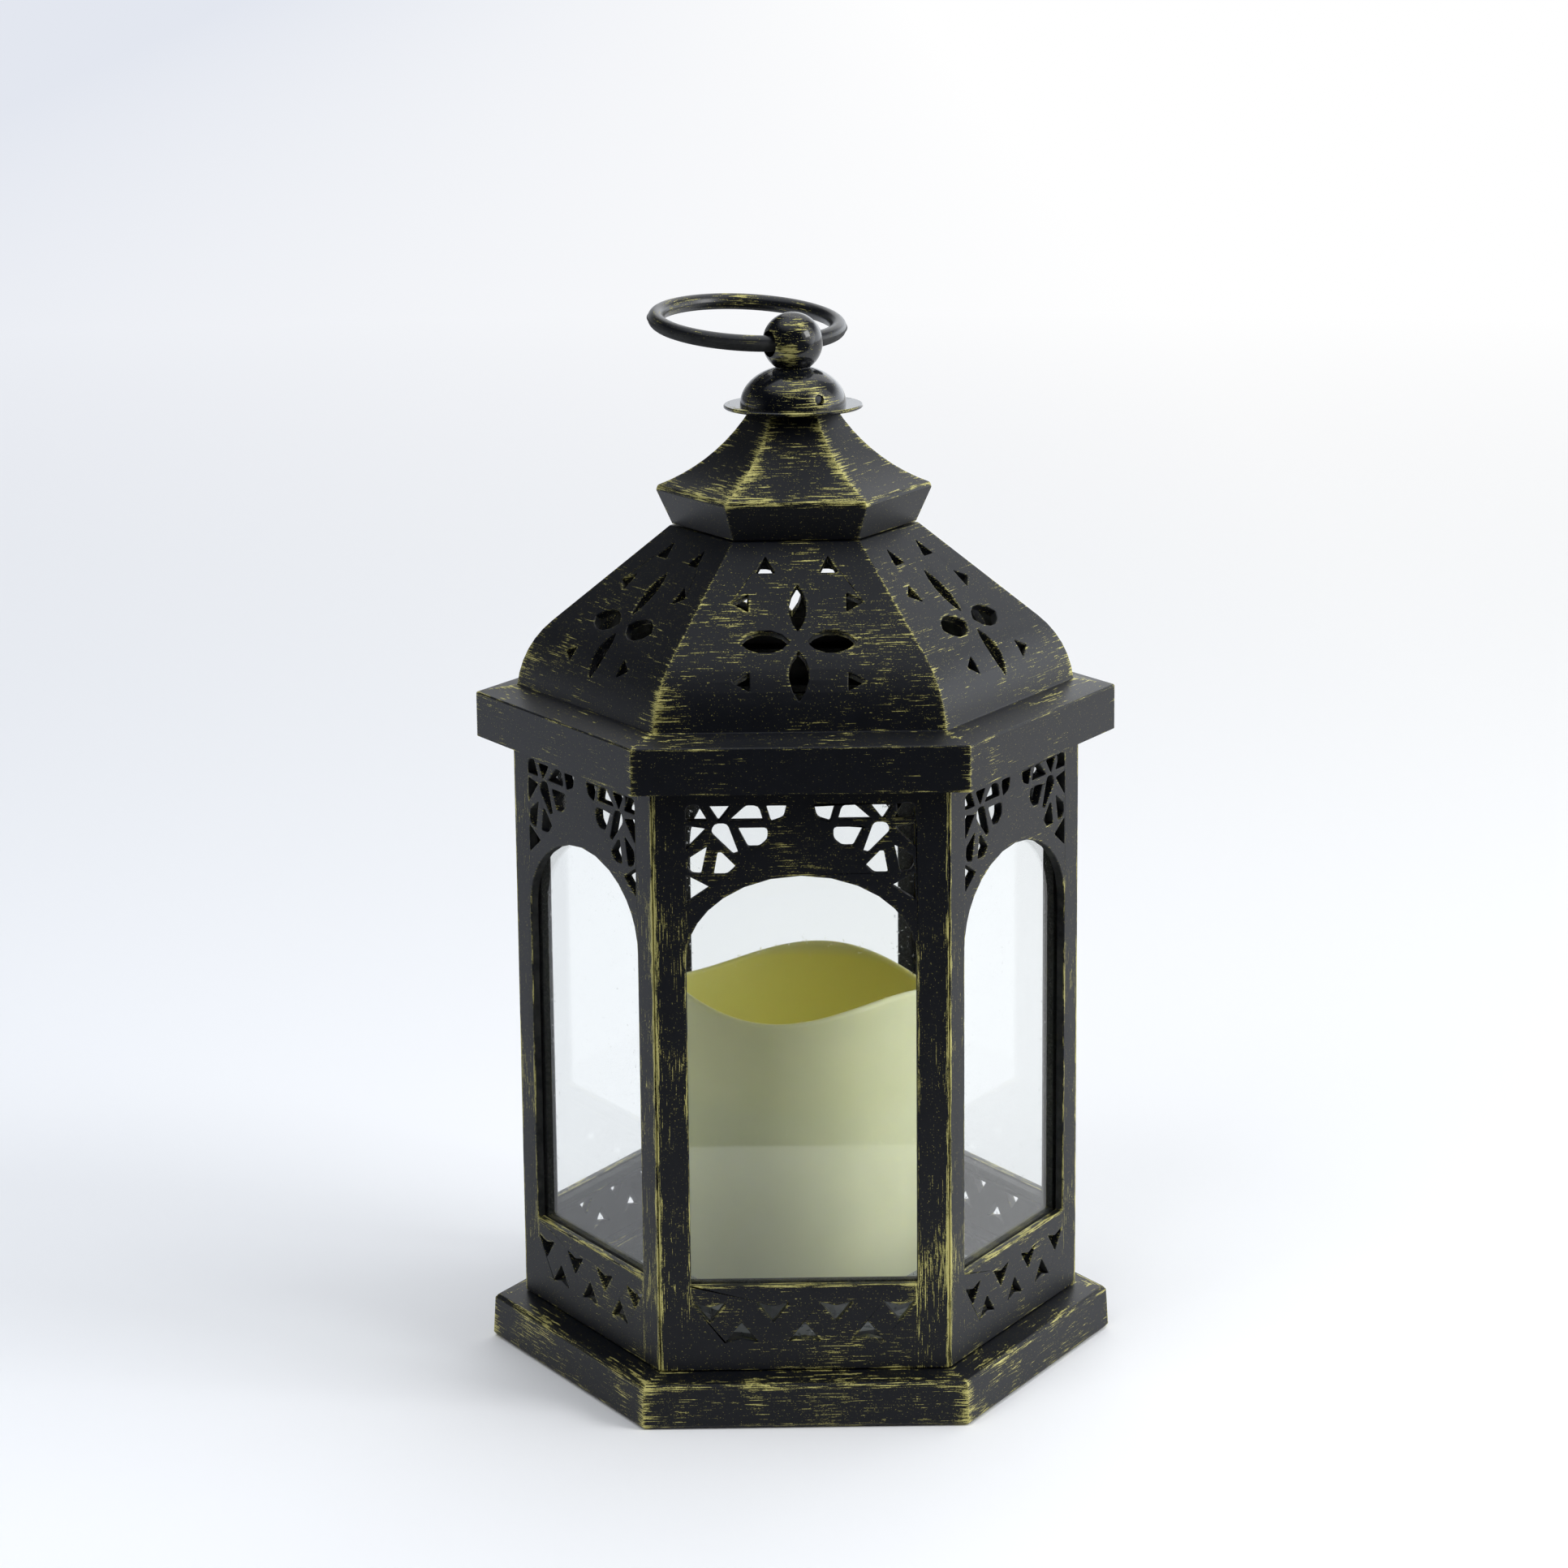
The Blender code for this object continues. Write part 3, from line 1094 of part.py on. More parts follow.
def shade_round_pieces():
    """Smooth shading with sharp edges kept, on every part."""
    for obj in bpy.data.collections[PARTS].objects:
        obj.data.shade_smooth()
        obj.data.set_sharp_from_angle(angle=math.radians(35))


def build():
    clear_scene()
    materials = make_materials()
    base_plinth(materials)
    battery_housing(materials)
    housing_screws(materials)
    battery_door(materials)
    batteries(materials)
    contact_strips(materials)
    power_switch(materials)
    timer_board(materials)
    light(materials)
    candle_shell(materials)
    side_panels(materials)
    window_panes(materials)
    pane_retainers(materials)
    roof(materials)
    roof_cap(materials)
    finial(materials)
    ring_handle(materials)
    shade_round_pieces()


build()
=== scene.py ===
"""Looks of the hexagonal hurricane lantern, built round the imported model.

Metres, +Z up, front panel towards -Y. Lengths named in millimetres are turned
into metres where they are used.
"""
import math

import bmesh
import bpy
from bpy.props import FloatProperty, FloatVectorProperty, PointerProperty
from mathutils import Matrix, Vector


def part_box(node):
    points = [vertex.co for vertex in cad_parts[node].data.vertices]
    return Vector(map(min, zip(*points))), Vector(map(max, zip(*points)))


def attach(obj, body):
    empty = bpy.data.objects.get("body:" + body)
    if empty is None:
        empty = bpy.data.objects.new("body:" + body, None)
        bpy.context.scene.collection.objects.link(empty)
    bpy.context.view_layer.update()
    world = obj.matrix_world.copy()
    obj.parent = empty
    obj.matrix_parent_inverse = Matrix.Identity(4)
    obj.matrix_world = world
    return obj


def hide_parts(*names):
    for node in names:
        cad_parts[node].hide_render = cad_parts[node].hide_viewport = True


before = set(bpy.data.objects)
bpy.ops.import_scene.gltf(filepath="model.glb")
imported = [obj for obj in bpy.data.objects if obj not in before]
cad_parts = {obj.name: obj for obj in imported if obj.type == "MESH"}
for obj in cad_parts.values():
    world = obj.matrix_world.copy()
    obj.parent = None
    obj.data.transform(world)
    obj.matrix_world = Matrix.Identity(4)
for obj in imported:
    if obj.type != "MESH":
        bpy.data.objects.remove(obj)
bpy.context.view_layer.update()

bl_info = {
    "name": "Hexagonal Hurricane Lantern",
    "version": (1, 0, 0),
    "blender": (4, 5, 0),
    "location": "View3D > Sidebar > Lantern",
    "description": "Dresses the packed lantern in its moulded, painted and glazed surfaces",
    "category": "Object",
}

MM = 0.001
SIDES = 6
SECTOR = math.tau / SIDES
ROOT = "lantern"

# Side panel: places on its face and widths of gold there, in millimetres
WINDOW_HALF = 27.8
JAMB_BAND = 1.1
JAMB_BLEND = 1.5
JAMB_GOLD_END = 135
JAMB_GOLD_FULL = 118
SILL_HEIGHT = 34.2
SILL_BAND = 1.2
RAIL_BELOW = 31
RAIL_ABOVE = 35
HEAD_BELOW = 128
HEAD_ABOVE = 140

# Moulded edges: how near two points count as one, in metres, and the least angle rounded
WELD = 0.00001
EDGE_ANGLE = math.radians(24)

# Finial, in millimetres: the turning of the solids in finer steps, its crease under the
# ball cut about a millimetre deeper
BALL_RADIUS = 7.5
BALL_RISE = 15.3
BALL_STEPS = 20
KNOB_RADIUS = 13.2
KNOB_HEIGHT = 9.63
KNOB_STEPS = 16
CREASE_RADIUS = 4.4
FLANGE_RADIUS = 17.3
FLANGE_THICKNESS = 0.9
FLANGE_EDGE = 0.25
SPIGOT_RADIUS = 7.7
LIP_RADIUS = 9.0
LIP_HEIGHT = 1.6
RING_BORE_RADIUS = 3.25
PIN_RISE = 2.3
PIN_BORE_RADIUS = 0.9
PIN_RECESS_RADIUS = 1.3
PIN_RECESS_FLOOR = 10.9
PIN_TAIL = 6.0
SPLIT_ANGLE = math.radians(30)
HALF_GAP = 0.15
FINIAL_STEPS = 96
FINIAL_EDGE = math.radians(32)

# Ring, in millimetres; the ridge's width is a sine of the angle round the tube
RING_RADIUS = 23.0
RING_TUBE = 2.1
RING_TUBE_SUNK = 0.06
RING_INSET = 0.6
RING_LIFT = math.radians(7)
RING_STEPS = 160
TUBE_STEPS = 28
RIDGE_HEIGHT = 0.22
RIDGE_WIDTH = 0.14

# Candle, in millimetres
CANDLE_RADIUS = 33.6
CANDLE_WALL = 2.2
CANDLE_HEIGHT = 76.4
CANDLE_WAVE = 2.2
CANDLE_LOBES = 3
CANDLE_CREST = math.radians(76.4)
CANDLE_STEPS = 128
CANDLE_EDGE = math.radians(40)
LIP_TURN = 15
WAVE_LEVELS = 6
RECESS_DEPTH = 24.1
RECESS_FLOOR = 2.2
FLAME_HOLE = 4.5
GLOW_FULL = 92.5
GLOW_FADED = 95.5

# Bristle marks: share of the stroke's length, share of a bristle's width, weight. The shifts
# are in cells of noise, and keep faces and layers from repeating one another.
BRISTLES = ((1.0, 1.0, 0.5), (0.35, 0.7, 0.32), (0.05, 0.8, 0.18))
BRISTLE_CONTRAST = (0.28, 0.72)
BRISTLE_SLANT = 0.3
FACE_SHIFT = 17.0
LAYER_SHIFT = 40

# Brushed gold: sizes of its patterns in millimetres, and the parts that make up its amount.
# A pair is where an effect starts and where it is full.
PATCH_SIZE = 16.667
PATCH_WEIGHT = 0.85
SCRATCH_SIZE = 1.6129
SCRATCH_LINE = (0.006, 0.016)
SCRATCH_WEIGHT = 0.16
SCRATCH_PLACES_SIZE = 0.66667
SCRATCH_PLACES = (0.5, 0.56)
WEAR_OPENNESS = (0.95, 0.6)
FLECK_SIZE = 0.38462
FLECK_CONTRAST = (0.7, 0.74)
FLECK_STRENGTH = 0.75
GOLD_SHOWS = (0.8, 0.86)
GOLD_THICK = (0.83, 1.02)
BRUSH_REACH = (-0.35, -0.15)
BRUSH_REACH_UP = 0.75
CORNER_STRENGTH = 0.9
CORNER_LINE = 0.9
CORNER_LINE_STRENGTH = 0.8
FIELD_EDGE = 0.4

# Other surface patterns, in millimetres
MOTTLE_SIZE = 3.8462
PAINT_GRAIN_SIZE = 0.2381
MOULD_GRAIN_SIZE = 0.625
MOULD_CLOUD_SIZE = 8.3333
DUST_SIZE = 1.1111
WAX_CLOUD_SIZE = 22.222
WAX_SKIN_SIZE = 1.42857
CLOUD_SPREAD = (0.3, 0.7)

# Camera, in metres and degrees
CAMERA_PLACE = (-0.01527, -1.08259, 0.3954)
CAMERA_TURN = (77.0254, 0.5291, -0.7629)
LENS = 100.9
SENSOR = 36.0

# Floor, in metres: near edge, extent, gap under the foot, radius of the hole, the span of X over
# which its painted shade lightens towards the right, and the distances over which it fades into an
# even tone
FLOOR_NEAR = -0.276
FLOOR_SIDE = 14.0
FLOOR_DROP = 0.0001
FLOOR_HOLE = 0.077
FLOOR_SHADE = (-0.9, 0.3)
FLOOR_FADE = (0.35, 2.2)

# Surroundings by direction: from, to, brightness before, brightness after. They are dim
# behind the camera, brighter to the right, dim high up, and bright again straight above.
SKY_AHEAD = (-0.45, -0.05, 0.04)
SKY_ASIDE = (-0.5, 0.6, 0.3, 2.9)
SKY_HIGHER = (0.2, 0.45, 1.0, 0.14)
SKY_ABOVE = (0.7, 0.95, 0.0)
SKY_TINT = (0.92, 0.955, 1.0, 1.0)

# Point that every lamp aims at, in metres
LIGHT_AIM = Vector((0, 0, 0.12))


def linear(hex_colour):
    """A hex sRGB colour as linear red, green, blue and full alpha."""
    channels = [int(hex_colour[i:i + 2], 16) / 255 for i in (1, 3, 5)]
    return (*[c / 12.92 if c <= 0.04045 else ((c + 0.055) / 1.055) ** 2.4 for c in channels], 1.0)


def colour_setting(name, description, default):
    """A colour for the panel, with a hex default."""
    return FloatVectorProperty(name=name, description=description, subtype="COLOR", size=4,
                               min=0, max=1, default=linear(default))


def length_setting(name, description, default):
    """A length for the panel, with a default in millimetres."""
    return FloatProperty(name=name, description=description, subtype="DISTANCE", unit="LENGTH",
                         min=0, default=default * MM)


class LanternFinishes(bpy.types.PropertyGroup):
    """Colours and brush sizes of the lantern's surfaces."""
    black: colour_setting("Black", "Satin black paint on the ABS mouldings", "#090B10")
    gold: colour_setting("Gold", "Antique gold dry-brushed over the black", "#C9C27B")
    thin_gold: colour_setting("Thin gold", "The same gold where the brush ran dry", "#888347")
    raw: colour_setting("Raw plastic", "Unpainted black moulding", "#17181A")
    wax: colour_setting("Wax", "Outside of the pillar candle", "#C9CCA5")
    # Painted glow: the candle's recess is painted yellower for light that comes through the wax
    # wall and is caught inside.
    wax_inside_painted_glow: colour_setting("Wax inside", "The candle's recess", "#E4E088")
    pane: colour_setting("Pane", "Tint of the clear panes", "#FEFFFE")
    stroke_length: length_setting("Stroke length", "Usual length of a brush stroke", 8.5)
    stroke_width: length_setting("Stroke width", "Width of one bristle's mark", 0.25)
    edge_band: length_setting("Edge band", "How far the gold reaches from a corner", 2.2)
    edge_line: length_setting("Edge line", "How far gold creeps in from any sharp edge", 0.8)
    rounding: length_setting("Rounding", "Radius of the mouldings' edges", 0.3)


class LanternStage(bpy.types.PropertyGroup):
    """Floor and light."""
    # Painted shade: the floor runs from white on the lit right to a darker, bluer tone on the
    # left, away from the light.
    floor_light: colour_setting("Floor, lit side", "Paper on the right", "#FFFFFF")
    floor_painted_shade: colour_setting("Floor, far side", "Paper on the left", "#E3E7F0")
    sky: FloatProperty(name="Surroundings", description="Brightness of the pale studio all round",
                       min=0, default=0.87)
    over: FloatProperty(name="Overhead", description="Brightness of the soft light straight above",
                        min=0, default=1.2)
    back: FloatProperty(name="Back light", description="Broad light from behind, over the floor",
                        min=0, default=0.5)
    right: FloatProperty(name="Right light", description="Broad light from the right",
                         min=0, default=0.8)
    fill_power: FloatProperty(name="Fill",
                              description="Power of the big soft light over the camera",
                              subtype="POWER", unit="POWER", min=0, default=10)
    key_power: FloatProperty(name="Key light",
                             description="Power of the softbox in front on the right",
                             subtype="POWER", unit="POWER", min=0, default=6.4)


def add(tree, kind, *inputs, sockets=None, **settings):
    """Add a shader node; each input takes a value or the socket that feeds it."""
    node = tree.nodes.new("ShaderNode" + kind)
    for name, value in settings.items():
        setattr(node, name, value)
    wanted = list(zip([s for s in node.inputs if s.enabled], inputs))
    wanted += [(node.inputs[name], value) for name, value in (sockets or {}).items()]
    for socket, value in wanted:
        if isinstance(value, bpy.types.NodeSocket):
            tree.links.new(value, socket)
        elif value is not None:
            socket.default_value = value
    return next((s for s in node.outputs if s.enabled), None)


def new_material(name):
    """An empty node material and its tree."""
    material = bpy.data.materials.new(name)
    material.use_nodes = True
    material.node_tree.nodes.clear()
    return material, material.node_tree


def band(tree, value, place, reach):
    """1 where a coordinate is at a place, falling to 0 at the reach, both in millimetres."""
    offset = add(tree, "Math", value, place * MM, operation="SUBTRACT")
    distance = add(tree, "Math", offset, operation="ABSOLUTE")
    return add(tree, "MapRange", distance, 0.0, reach * MM, 1.0, 0.0)


def largest(tree, values):
    """The largest of several sockets."""
    result = values[0]
    for value in values[1:]:
        result = add(tree, "Math", result, value, operation="MAXIMUM")
    return result


def hexagon_places(tree):
    """Across each flat, out from the axis, up, and in from the nearest corner."""
    point = add(tree, "TexCoord").node.outputs["Object"]
    x, y, height = add(tree, "SeparateXYZ", point).node.outputs
    angle = add(tree, "Math", y, x, operation="ARCTAN2")
    side = add(tree, "Math", add(tree, "Math", angle, SECTOR, operation="DIVIDE"),
               operation="FLOOR")
    start = add(tree, "Math", side, SECTOR, SECTOR / 2, operation="MULTIPLY_ADD")
    local = add(tree, "Math", angle, start, operation="SUBTRACT")
    level = add(tree, "CombineXYZ", x, y, 0.0)
    radius = add(tree, "VectorMath", level, operation="LENGTH").node.outputs["Value"]
    across = add(tree, "Math", radius, add(tree, "Math", local, operation="SINE"),
                 operation="MULTIPLY")
    apothem = add(tree, "Math", radius, add(tree, "Math", local, operation="COSINE"),
                  operation="MULTIPLY")
    edge = add(tree, "Math", apothem, math.tan(SECTOR / 2), operation="MULTIPLY")
    corner = add(tree, "Math", edge, add(tree, "Math", across, operation="ABSOLUTE"),
                 operation="SUBTRACT")
    return {"point": point, "across": across, "out": apothem, "up": height, "corner": corner,
            "side": side}


def turned_places(tree, radius):
    """Round the axis at a radius in millimetres, out from it, and up."""
    point = add(tree, "TexCoord").node.outputs["Object"]
    x, y, height = add(tree, "SeparateXYZ", point).node.outputs
    angle = add(tree, "Math", y, x, operation="ARCTAN2")
    around = add(tree, "Math", angle, radius * MM, operation="MULTIPLY")
    level = add(tree, "CombineXYZ", x, y, 0.0)
    out = add(tree, "VectorMath", level, operation="LENGTH").node.outputs["Value"]
    return {"point": point, "across": around, "out": out, "up": height, "side": 0.0}


def strokes(tree, places, finishes, upright=False):
    """Bristle marks: long hairs, short hairs and grains, told apart by strong contrast."""
    shift = add(tree, "Math", places["side"], FACE_SHIFT, operation="MULTIPLY")
    marks = []
    for length, width, weight in BRISTLES:
        along = 1 / (finishes.stroke_length * length)
        wide = 1 / (finishes.stroke_width * width)
        across, up = (wide, along) if upright else (along, wide)
        scaled = add(tree, "CombineXYZ",
                     add(tree, "Math", places["across"], across, shift,
                         operation="MULTIPLY_ADD"),
                     add(tree, "Math", places["out"], wide * BRISTLE_SLANT,
                         operation="MULTIPLY"),
                     add(tree, "Math", places["up"], up, length * LAYER_SHIFT,
                         operation="MULTIPLY_ADD"))
        noise = add(tree, "TexNoise", scaled, 1.0, 1.0, 0.5)
        marks.append(add(tree, "Math", noise, weight, operation="MULTIPLY"))
    total = add(tree, "Math", add(tree, "Math", marks[0], marks[1], operation="ADD"), marks[2],
                operation="ADD")
    return add(tree, "MapRange", total, *BRISTLE_CONTRAST)


def scratches(tree, point):
    """Thin curling scratches: the level lines of a fine noise, kept in places only."""
    noise = add(tree, "TexNoise", point, 1000 / SCRATCH_SIZE, 1.0, 0.5)
    line = add(tree, "Math", add(tree, "Math", noise, 0.5, operation="SUBTRACT"),
               operation="ABSOLUTE")
    line = add(tree, "MapRange", line, *SCRATCH_LINE, 1.0, 0.0)
    kept = add(tree, "TexNoise", point, 1000 / SCRATCH_PLACES_SIZE, 1.0, 0.5)
    kept = add(tree, "MapRange", kept, *SCRATCH_PLACES)
    return add(tree, "Math", line, kept, operation="MULTIPLY")


def gold_amount(tree, finishes, places, cover, touches, upright_share, edge):
    """How much gold the brush left: strokes, patches, cover, worn edges, dabs and scratches."""
    marks = strokes(tree, places, finishes)
    if upright_share is not None:
        marks = add(tree, "Mix", upright_share, marks, strokes(tree, places, finishes, True))
    point = places["point"]
    patches = add(tree, "TexNoise", point, 1000 / PATCH_SIZE, 2.0, 0.55)
    patches = add(tree, "Math", patches, 0.5, operation="SUBTRACT")
    amount = add(tree, "Math", patches, PATCH_WEIGHT, marks, operation="MULTIPLY_ADD")
    amount = add(tree, "Math", amount, cover, operation="ADD")
    openness = add(tree, "AmbientOcclusion", sockets={"Distance": finishes.edge_line},
                   inside=True, only_local=True, samples=4).node.outputs["AO"]
    worn = add(tree, "MapRange", openness, *WEAR_OPENNESS, 0.0, edge)
    amount = add(tree, "Math", amount, worn, operation="ADD")
    for x, y, z, reach, strength in touches:
        distance = add(tree, "VectorMath", point, (x * MM, y * MM, z * MM),
                       operation="DISTANCE").node.outputs["Value"]
        near = add(tree, "MapRange", distance, 0.0, reach * MM, strength, 0.0)
        amount = add(tree, "Math", amount, near, operation="ADD")
    return add(tree, "Math", scratches(tree, point), SCRATCH_WEIGHT, amount,
               operation="MULTIPLY_ADD")


def brush_reach(tree, point):
    """1 on faces turned outwards or upwards, 0 on inner faces, where no paint goes."""
    facing = add(tree, "NewGeometry").node.outputs["Normal"]
    outward = add(tree, "VectorMath", point, (1.0, 1.0, 0.0), operation="MULTIPLY")
    outward = add(tree, "VectorMath", outward, operation="NORMALIZE")
    turned_out = add(tree, "VectorMath", facing, outward, operation="DOT_PRODUCT")
    turned_out = turned_out.node.outputs["Value"]
    up = add(tree, "SeparateXYZ", facing).node.outputs["Z"]
    shown = add(tree, "Math", up, BRUSH_REACH_UP, turned_out, operation="MULTIPLY_ADD")
    return add(tree, "MapRange", shown, *BRUSH_REACH)


def brushed_paint(finishes, places, tree, cover, gloss=0.42, touches=(), upright_share=None,
                  edge=0.27, specular=0.24, reached=None):
    """Satin black paint with antique gold dragged over it by a nearly dry brush.

    It gives the eye fine, broken, olive-gold hairs that close up towards solid gold along
    edges. Cover says how much gold lies on a place, touches are dabs as (x, y, z, reach,
    strength) in millimetres, and reached is 1 where the brush can get at all.
    """
    amount = gold_amount(tree, finishes, places, cover, touches, upright_share, edge)
    point = places["point"]
    flecks = add(tree, "TexNoise", point, 1000 / FLECK_SIZE, 1.0, 0.5)
    flecks = add(tree, "MapRange", flecks, *FLECK_CONTRAST, 0.0, FLECK_STRENGTH)
    laid = add(tree, "MapRange", amount, *GOLD_SHOWS)
    gold = add(tree, "Math", laid, flecks, operation="MAXIMUM")
    shown = brush_reach(tree, point)
    if reached is not None:
        shown = add(tree, "Math", shown, reached, operation="MULTIPLY")
    gold = add(tree, "Math", gold, shown, operation="MULTIPLY")

    mottle = add(tree, "TexNoise", point, 1000 / MOTTLE_SIZE, 3.0, 0.6)
    raw_tone = add(tree, "Mix", add(tree, "MapRange", mottle, 0.35, 0.7), finishes.raw,
                   linear("#303130"), data_type="RGBA")
    paint_tone = add(tree, "Mix", mottle, finishes.black, linear("#12141A"), data_type="RGBA")
    black = add(tree, "Mix", shown, raw_tone, paint_tone, data_type="RGBA")
    thick = add(tree, "MapRange", amount, *GOLD_THICK)
    gold_tone = add(tree, "Mix", thick, finishes.thin_gold, finishes.gold, data_type="RGBA")
    colour = add(tree, "Mix", gold, black, gold_tone, data_type="RGBA")

    # Raw plastic is dullest, gold is duller than the paint round it and stands a little proud.
    roughness = add(tree, "Mix", shown, 0.75, add(tree, "Mix", gold, gloss, 0.5))
    grain = add(tree, "TexNoise", point, 1000 / PAINT_GRAIN_SIZE, 2.0, 0.6)
    height = add(tree, "Math", gold, 0.9, add(tree, "Math", grain, 0.35, operation="MULTIPLY"),
                 operation="MULTIPLY_ADD")
    bump = add(tree, "Bump", 0.8 * gloss, 0.06 * MM, sockets={"Height": height})
    metallic = add(tree, "Math", gold, 0.4, operation="MULTIPLY")
    shader = add(tree, "BsdfPrincipled", sockets={
        "Base Color": colour, "Metallic": metallic, "Roughness": roughness, "Normal": bump,
        "Specular IOR Level": specular})
    add(tree, "OutputMaterial", shader)


def panel_paint(finishes):
    """Side panels: upright strokes on the posts, level strokes on the rail.

    Gold lines run down the corners and the jambs and along the sill, and the head above the
    window is the blackest part.
    """
    material, tree = new_material("satin_black_brushed_gold_panels")
    places = hexagon_places(tree)
    away = add(tree, "Math", places["across"], operation="ABSOLUTE")
    upright = add(tree, "MapRange", away, (WINDOW_HALF - JAMB_BLEND) * MM, WINDOW_HALF * MM)
    inside_window = add(tree, "Math", away, WINDOW_HALF * MM, operation="LESS_THAN")
    sill = add(tree, "Math", band(tree, places["up"], SILL_HEIGHT, SILL_BAND), inside_window,
               operation="MULTIPLY")
    corner = add(tree, "MapRange", places["corner"], 0.0, finishes.edge_band, 1.0, 0.0)
    low = add(tree, "MapRange", places["up"], JAMB_GOLD_END * MM, JAMB_GOLD_FULL * MM)
    jamb = add(tree, "Math", band(tree, away, WINDOW_HALF, JAMB_BAND), low,
               operation="MULTIPLY")
    edges = largest(tree, [corner, add(tree, "Math", jamb, 0.7, operation="MULTIPLY"), sill])
    head = add(tree, "MapRange", places["up"], HEAD_BELOW * MM, HEAD_ABOVE * MM, -0.015, -0.08)
    rail = add(tree, "MapRange", places["up"], RAIL_BELOW * MM, RAIL_ABOVE * MM, 0.015, 0.0)
    field = add(tree, "Math", head, rail, operation="ADD")
    cover = add(tree, "Math", edges, 0.22, field, operation="MULTIPLY_ADD")
    brushed_paint(finishes, places, tree, cover, upright_share=upright,
                  touches=[(31, -60, 40, 13, 0.32), (-31, -60, 30, 10, 0.2)])
    return material


def hexagon_paint(name, finishes, levels, field, corner, touches=(), hollow=None):
    """Foot, roof and cap: level strokes, with gold at the corners and at given heights.

    Each level is (height, reach, strength). Field is (height, cover under it, cover over
    it). Corner is (reach, full up to a height, thinner from a height, share left there).
    Hollow is (reach out from the axis, top) of the unpainted space underneath. Lengths are
    in millimetres.
    """
    material, tree = new_material(name)
    places = hexagon_places(tree)
    reach, full, thin, share = corner
    strength = add(tree, "MapRange", places["up"], full * MM, thin * MM, CORNER_STRENGTH,
                   CORNER_STRENGTH * share)
    wide = add(tree, "MapRange", places["corner"], 0.0, reach * MM, 1.0, 0.0)
    line = add(tree, "MapRange", places["corner"], 0.0, CORNER_LINE * MM, 1.0, 0.0)
    edges = [add(tree, "Math", wide, strength, operation="MULTIPLY"),
             add(tree, "Math", line, CORNER_LINE_STRENGTH, operation="MULTIPLY")]
    height, under, over = field
    field = add(tree, "MapRange", places["up"], (height - FIELD_EDGE) * MM,
                (height + FIELD_EDGE) * MM, under, over)
    for height, reach, strength in levels:
        near = band(tree, places["up"], height, reach)
        edges.append(add(tree, "Math", near, strength, operation="MULTIPLY"))
    cover = add(tree, "Math", largest(tree, edges), 0.32, field, operation="MULTIPLY_ADD")
    reached = None
    if hollow is not None:
        reached = largest(tree, [
            add(tree, "Math", places[way], limit * MM, operation="GREATER_THAN")
            for way, limit in zip(("out", "up"), hollow)])
    brushed_paint(finishes, places, tree, cover, touches=touches, reached=reached)
    return material


def turned_paint(name, finishes, field, gloss, radius, touches=()):
    """Finial and ring: glossy black with a few dabs of gold, strokes running round.

    The gloss gives the eye small bright highlights on round, dark forms.
    """
    material, tree = new_material(name)
    brushed_paint(finishes, turned_places(tree, radius), tree, field, gloss, touches, edge=0.12,
                  specular=0.5)
    return material


def raw_plastic(finishes):
    """Black ABS as it left the mould: dull, with a spark-eroded grain."""
    material, tree = new_material("raw_black_abs")
    point = add(tree, "TexCoord").node.outputs["Object"]
    grain = add(tree, "TexNoise", point, 1000 / MOULD_GRAIN_SIZE, 3.0, 0.65)
    cloud = add(tree, "TexNoise", point, 1000 / MOULD_CLOUD_SIZE, 2.0, 0.5)
    tone = add(tree, "MapRange", grain, 0.42, 0.68)
    tone = add(tree, "Math", tone, cloud, operation="MULTIPLY")
    colour = add(tree, "Mix", tone, finishes.raw, linear("#4A4B49"), data_type="RGBA")
    bump = add(tree, "Bump", 0.5, 0.1 * MM, sockets={"Height": grain})
    rough = add(tree, "MapRange", cloud, *CLOUD_SPREAD, 0.55, 0.75)
    shader = add(tree, "BsdfPrincipled", sockets={
        "Base Color": colour, "Roughness": rough, "Normal": bump, "Specular IOR Level": 0.35})
    add(tree, "OutputMaterial", shader)
    return material


def clear_pane(finishes):
    """Clear float glass: colourless, faintly green at its edges, with a little dust.

    Shadow rays pass straight through, so the candle is lit as if by daylight.
    """
    material, tree = new_material("clear_float_glass")
    point = add(tree, "TexCoord").node.outputs["Object"]
    dust = add(tree, "TexNoise", point, 1000 / DUST_SIZE, 2.0, 0.5)
    rough = add(tree, "MapRange", dust, 0.66, 0.74, 0.02, 0.22)
    glass = add(tree, "BsdfPrincipled", sockets={
        "Base Color": finishes.pane, "Roughness": rough, "IOR": 1.46,
        "Transmission Weight": 1.0})
    through = add(tree, "BsdfTransparent", finishes.pane)
    shadow = add(tree, "LightPath").node.outputs["Is Shadow Ray"]
    add(tree, "OutputMaterial", add(tree, "MixShader", shadow, glass, through))
    return material


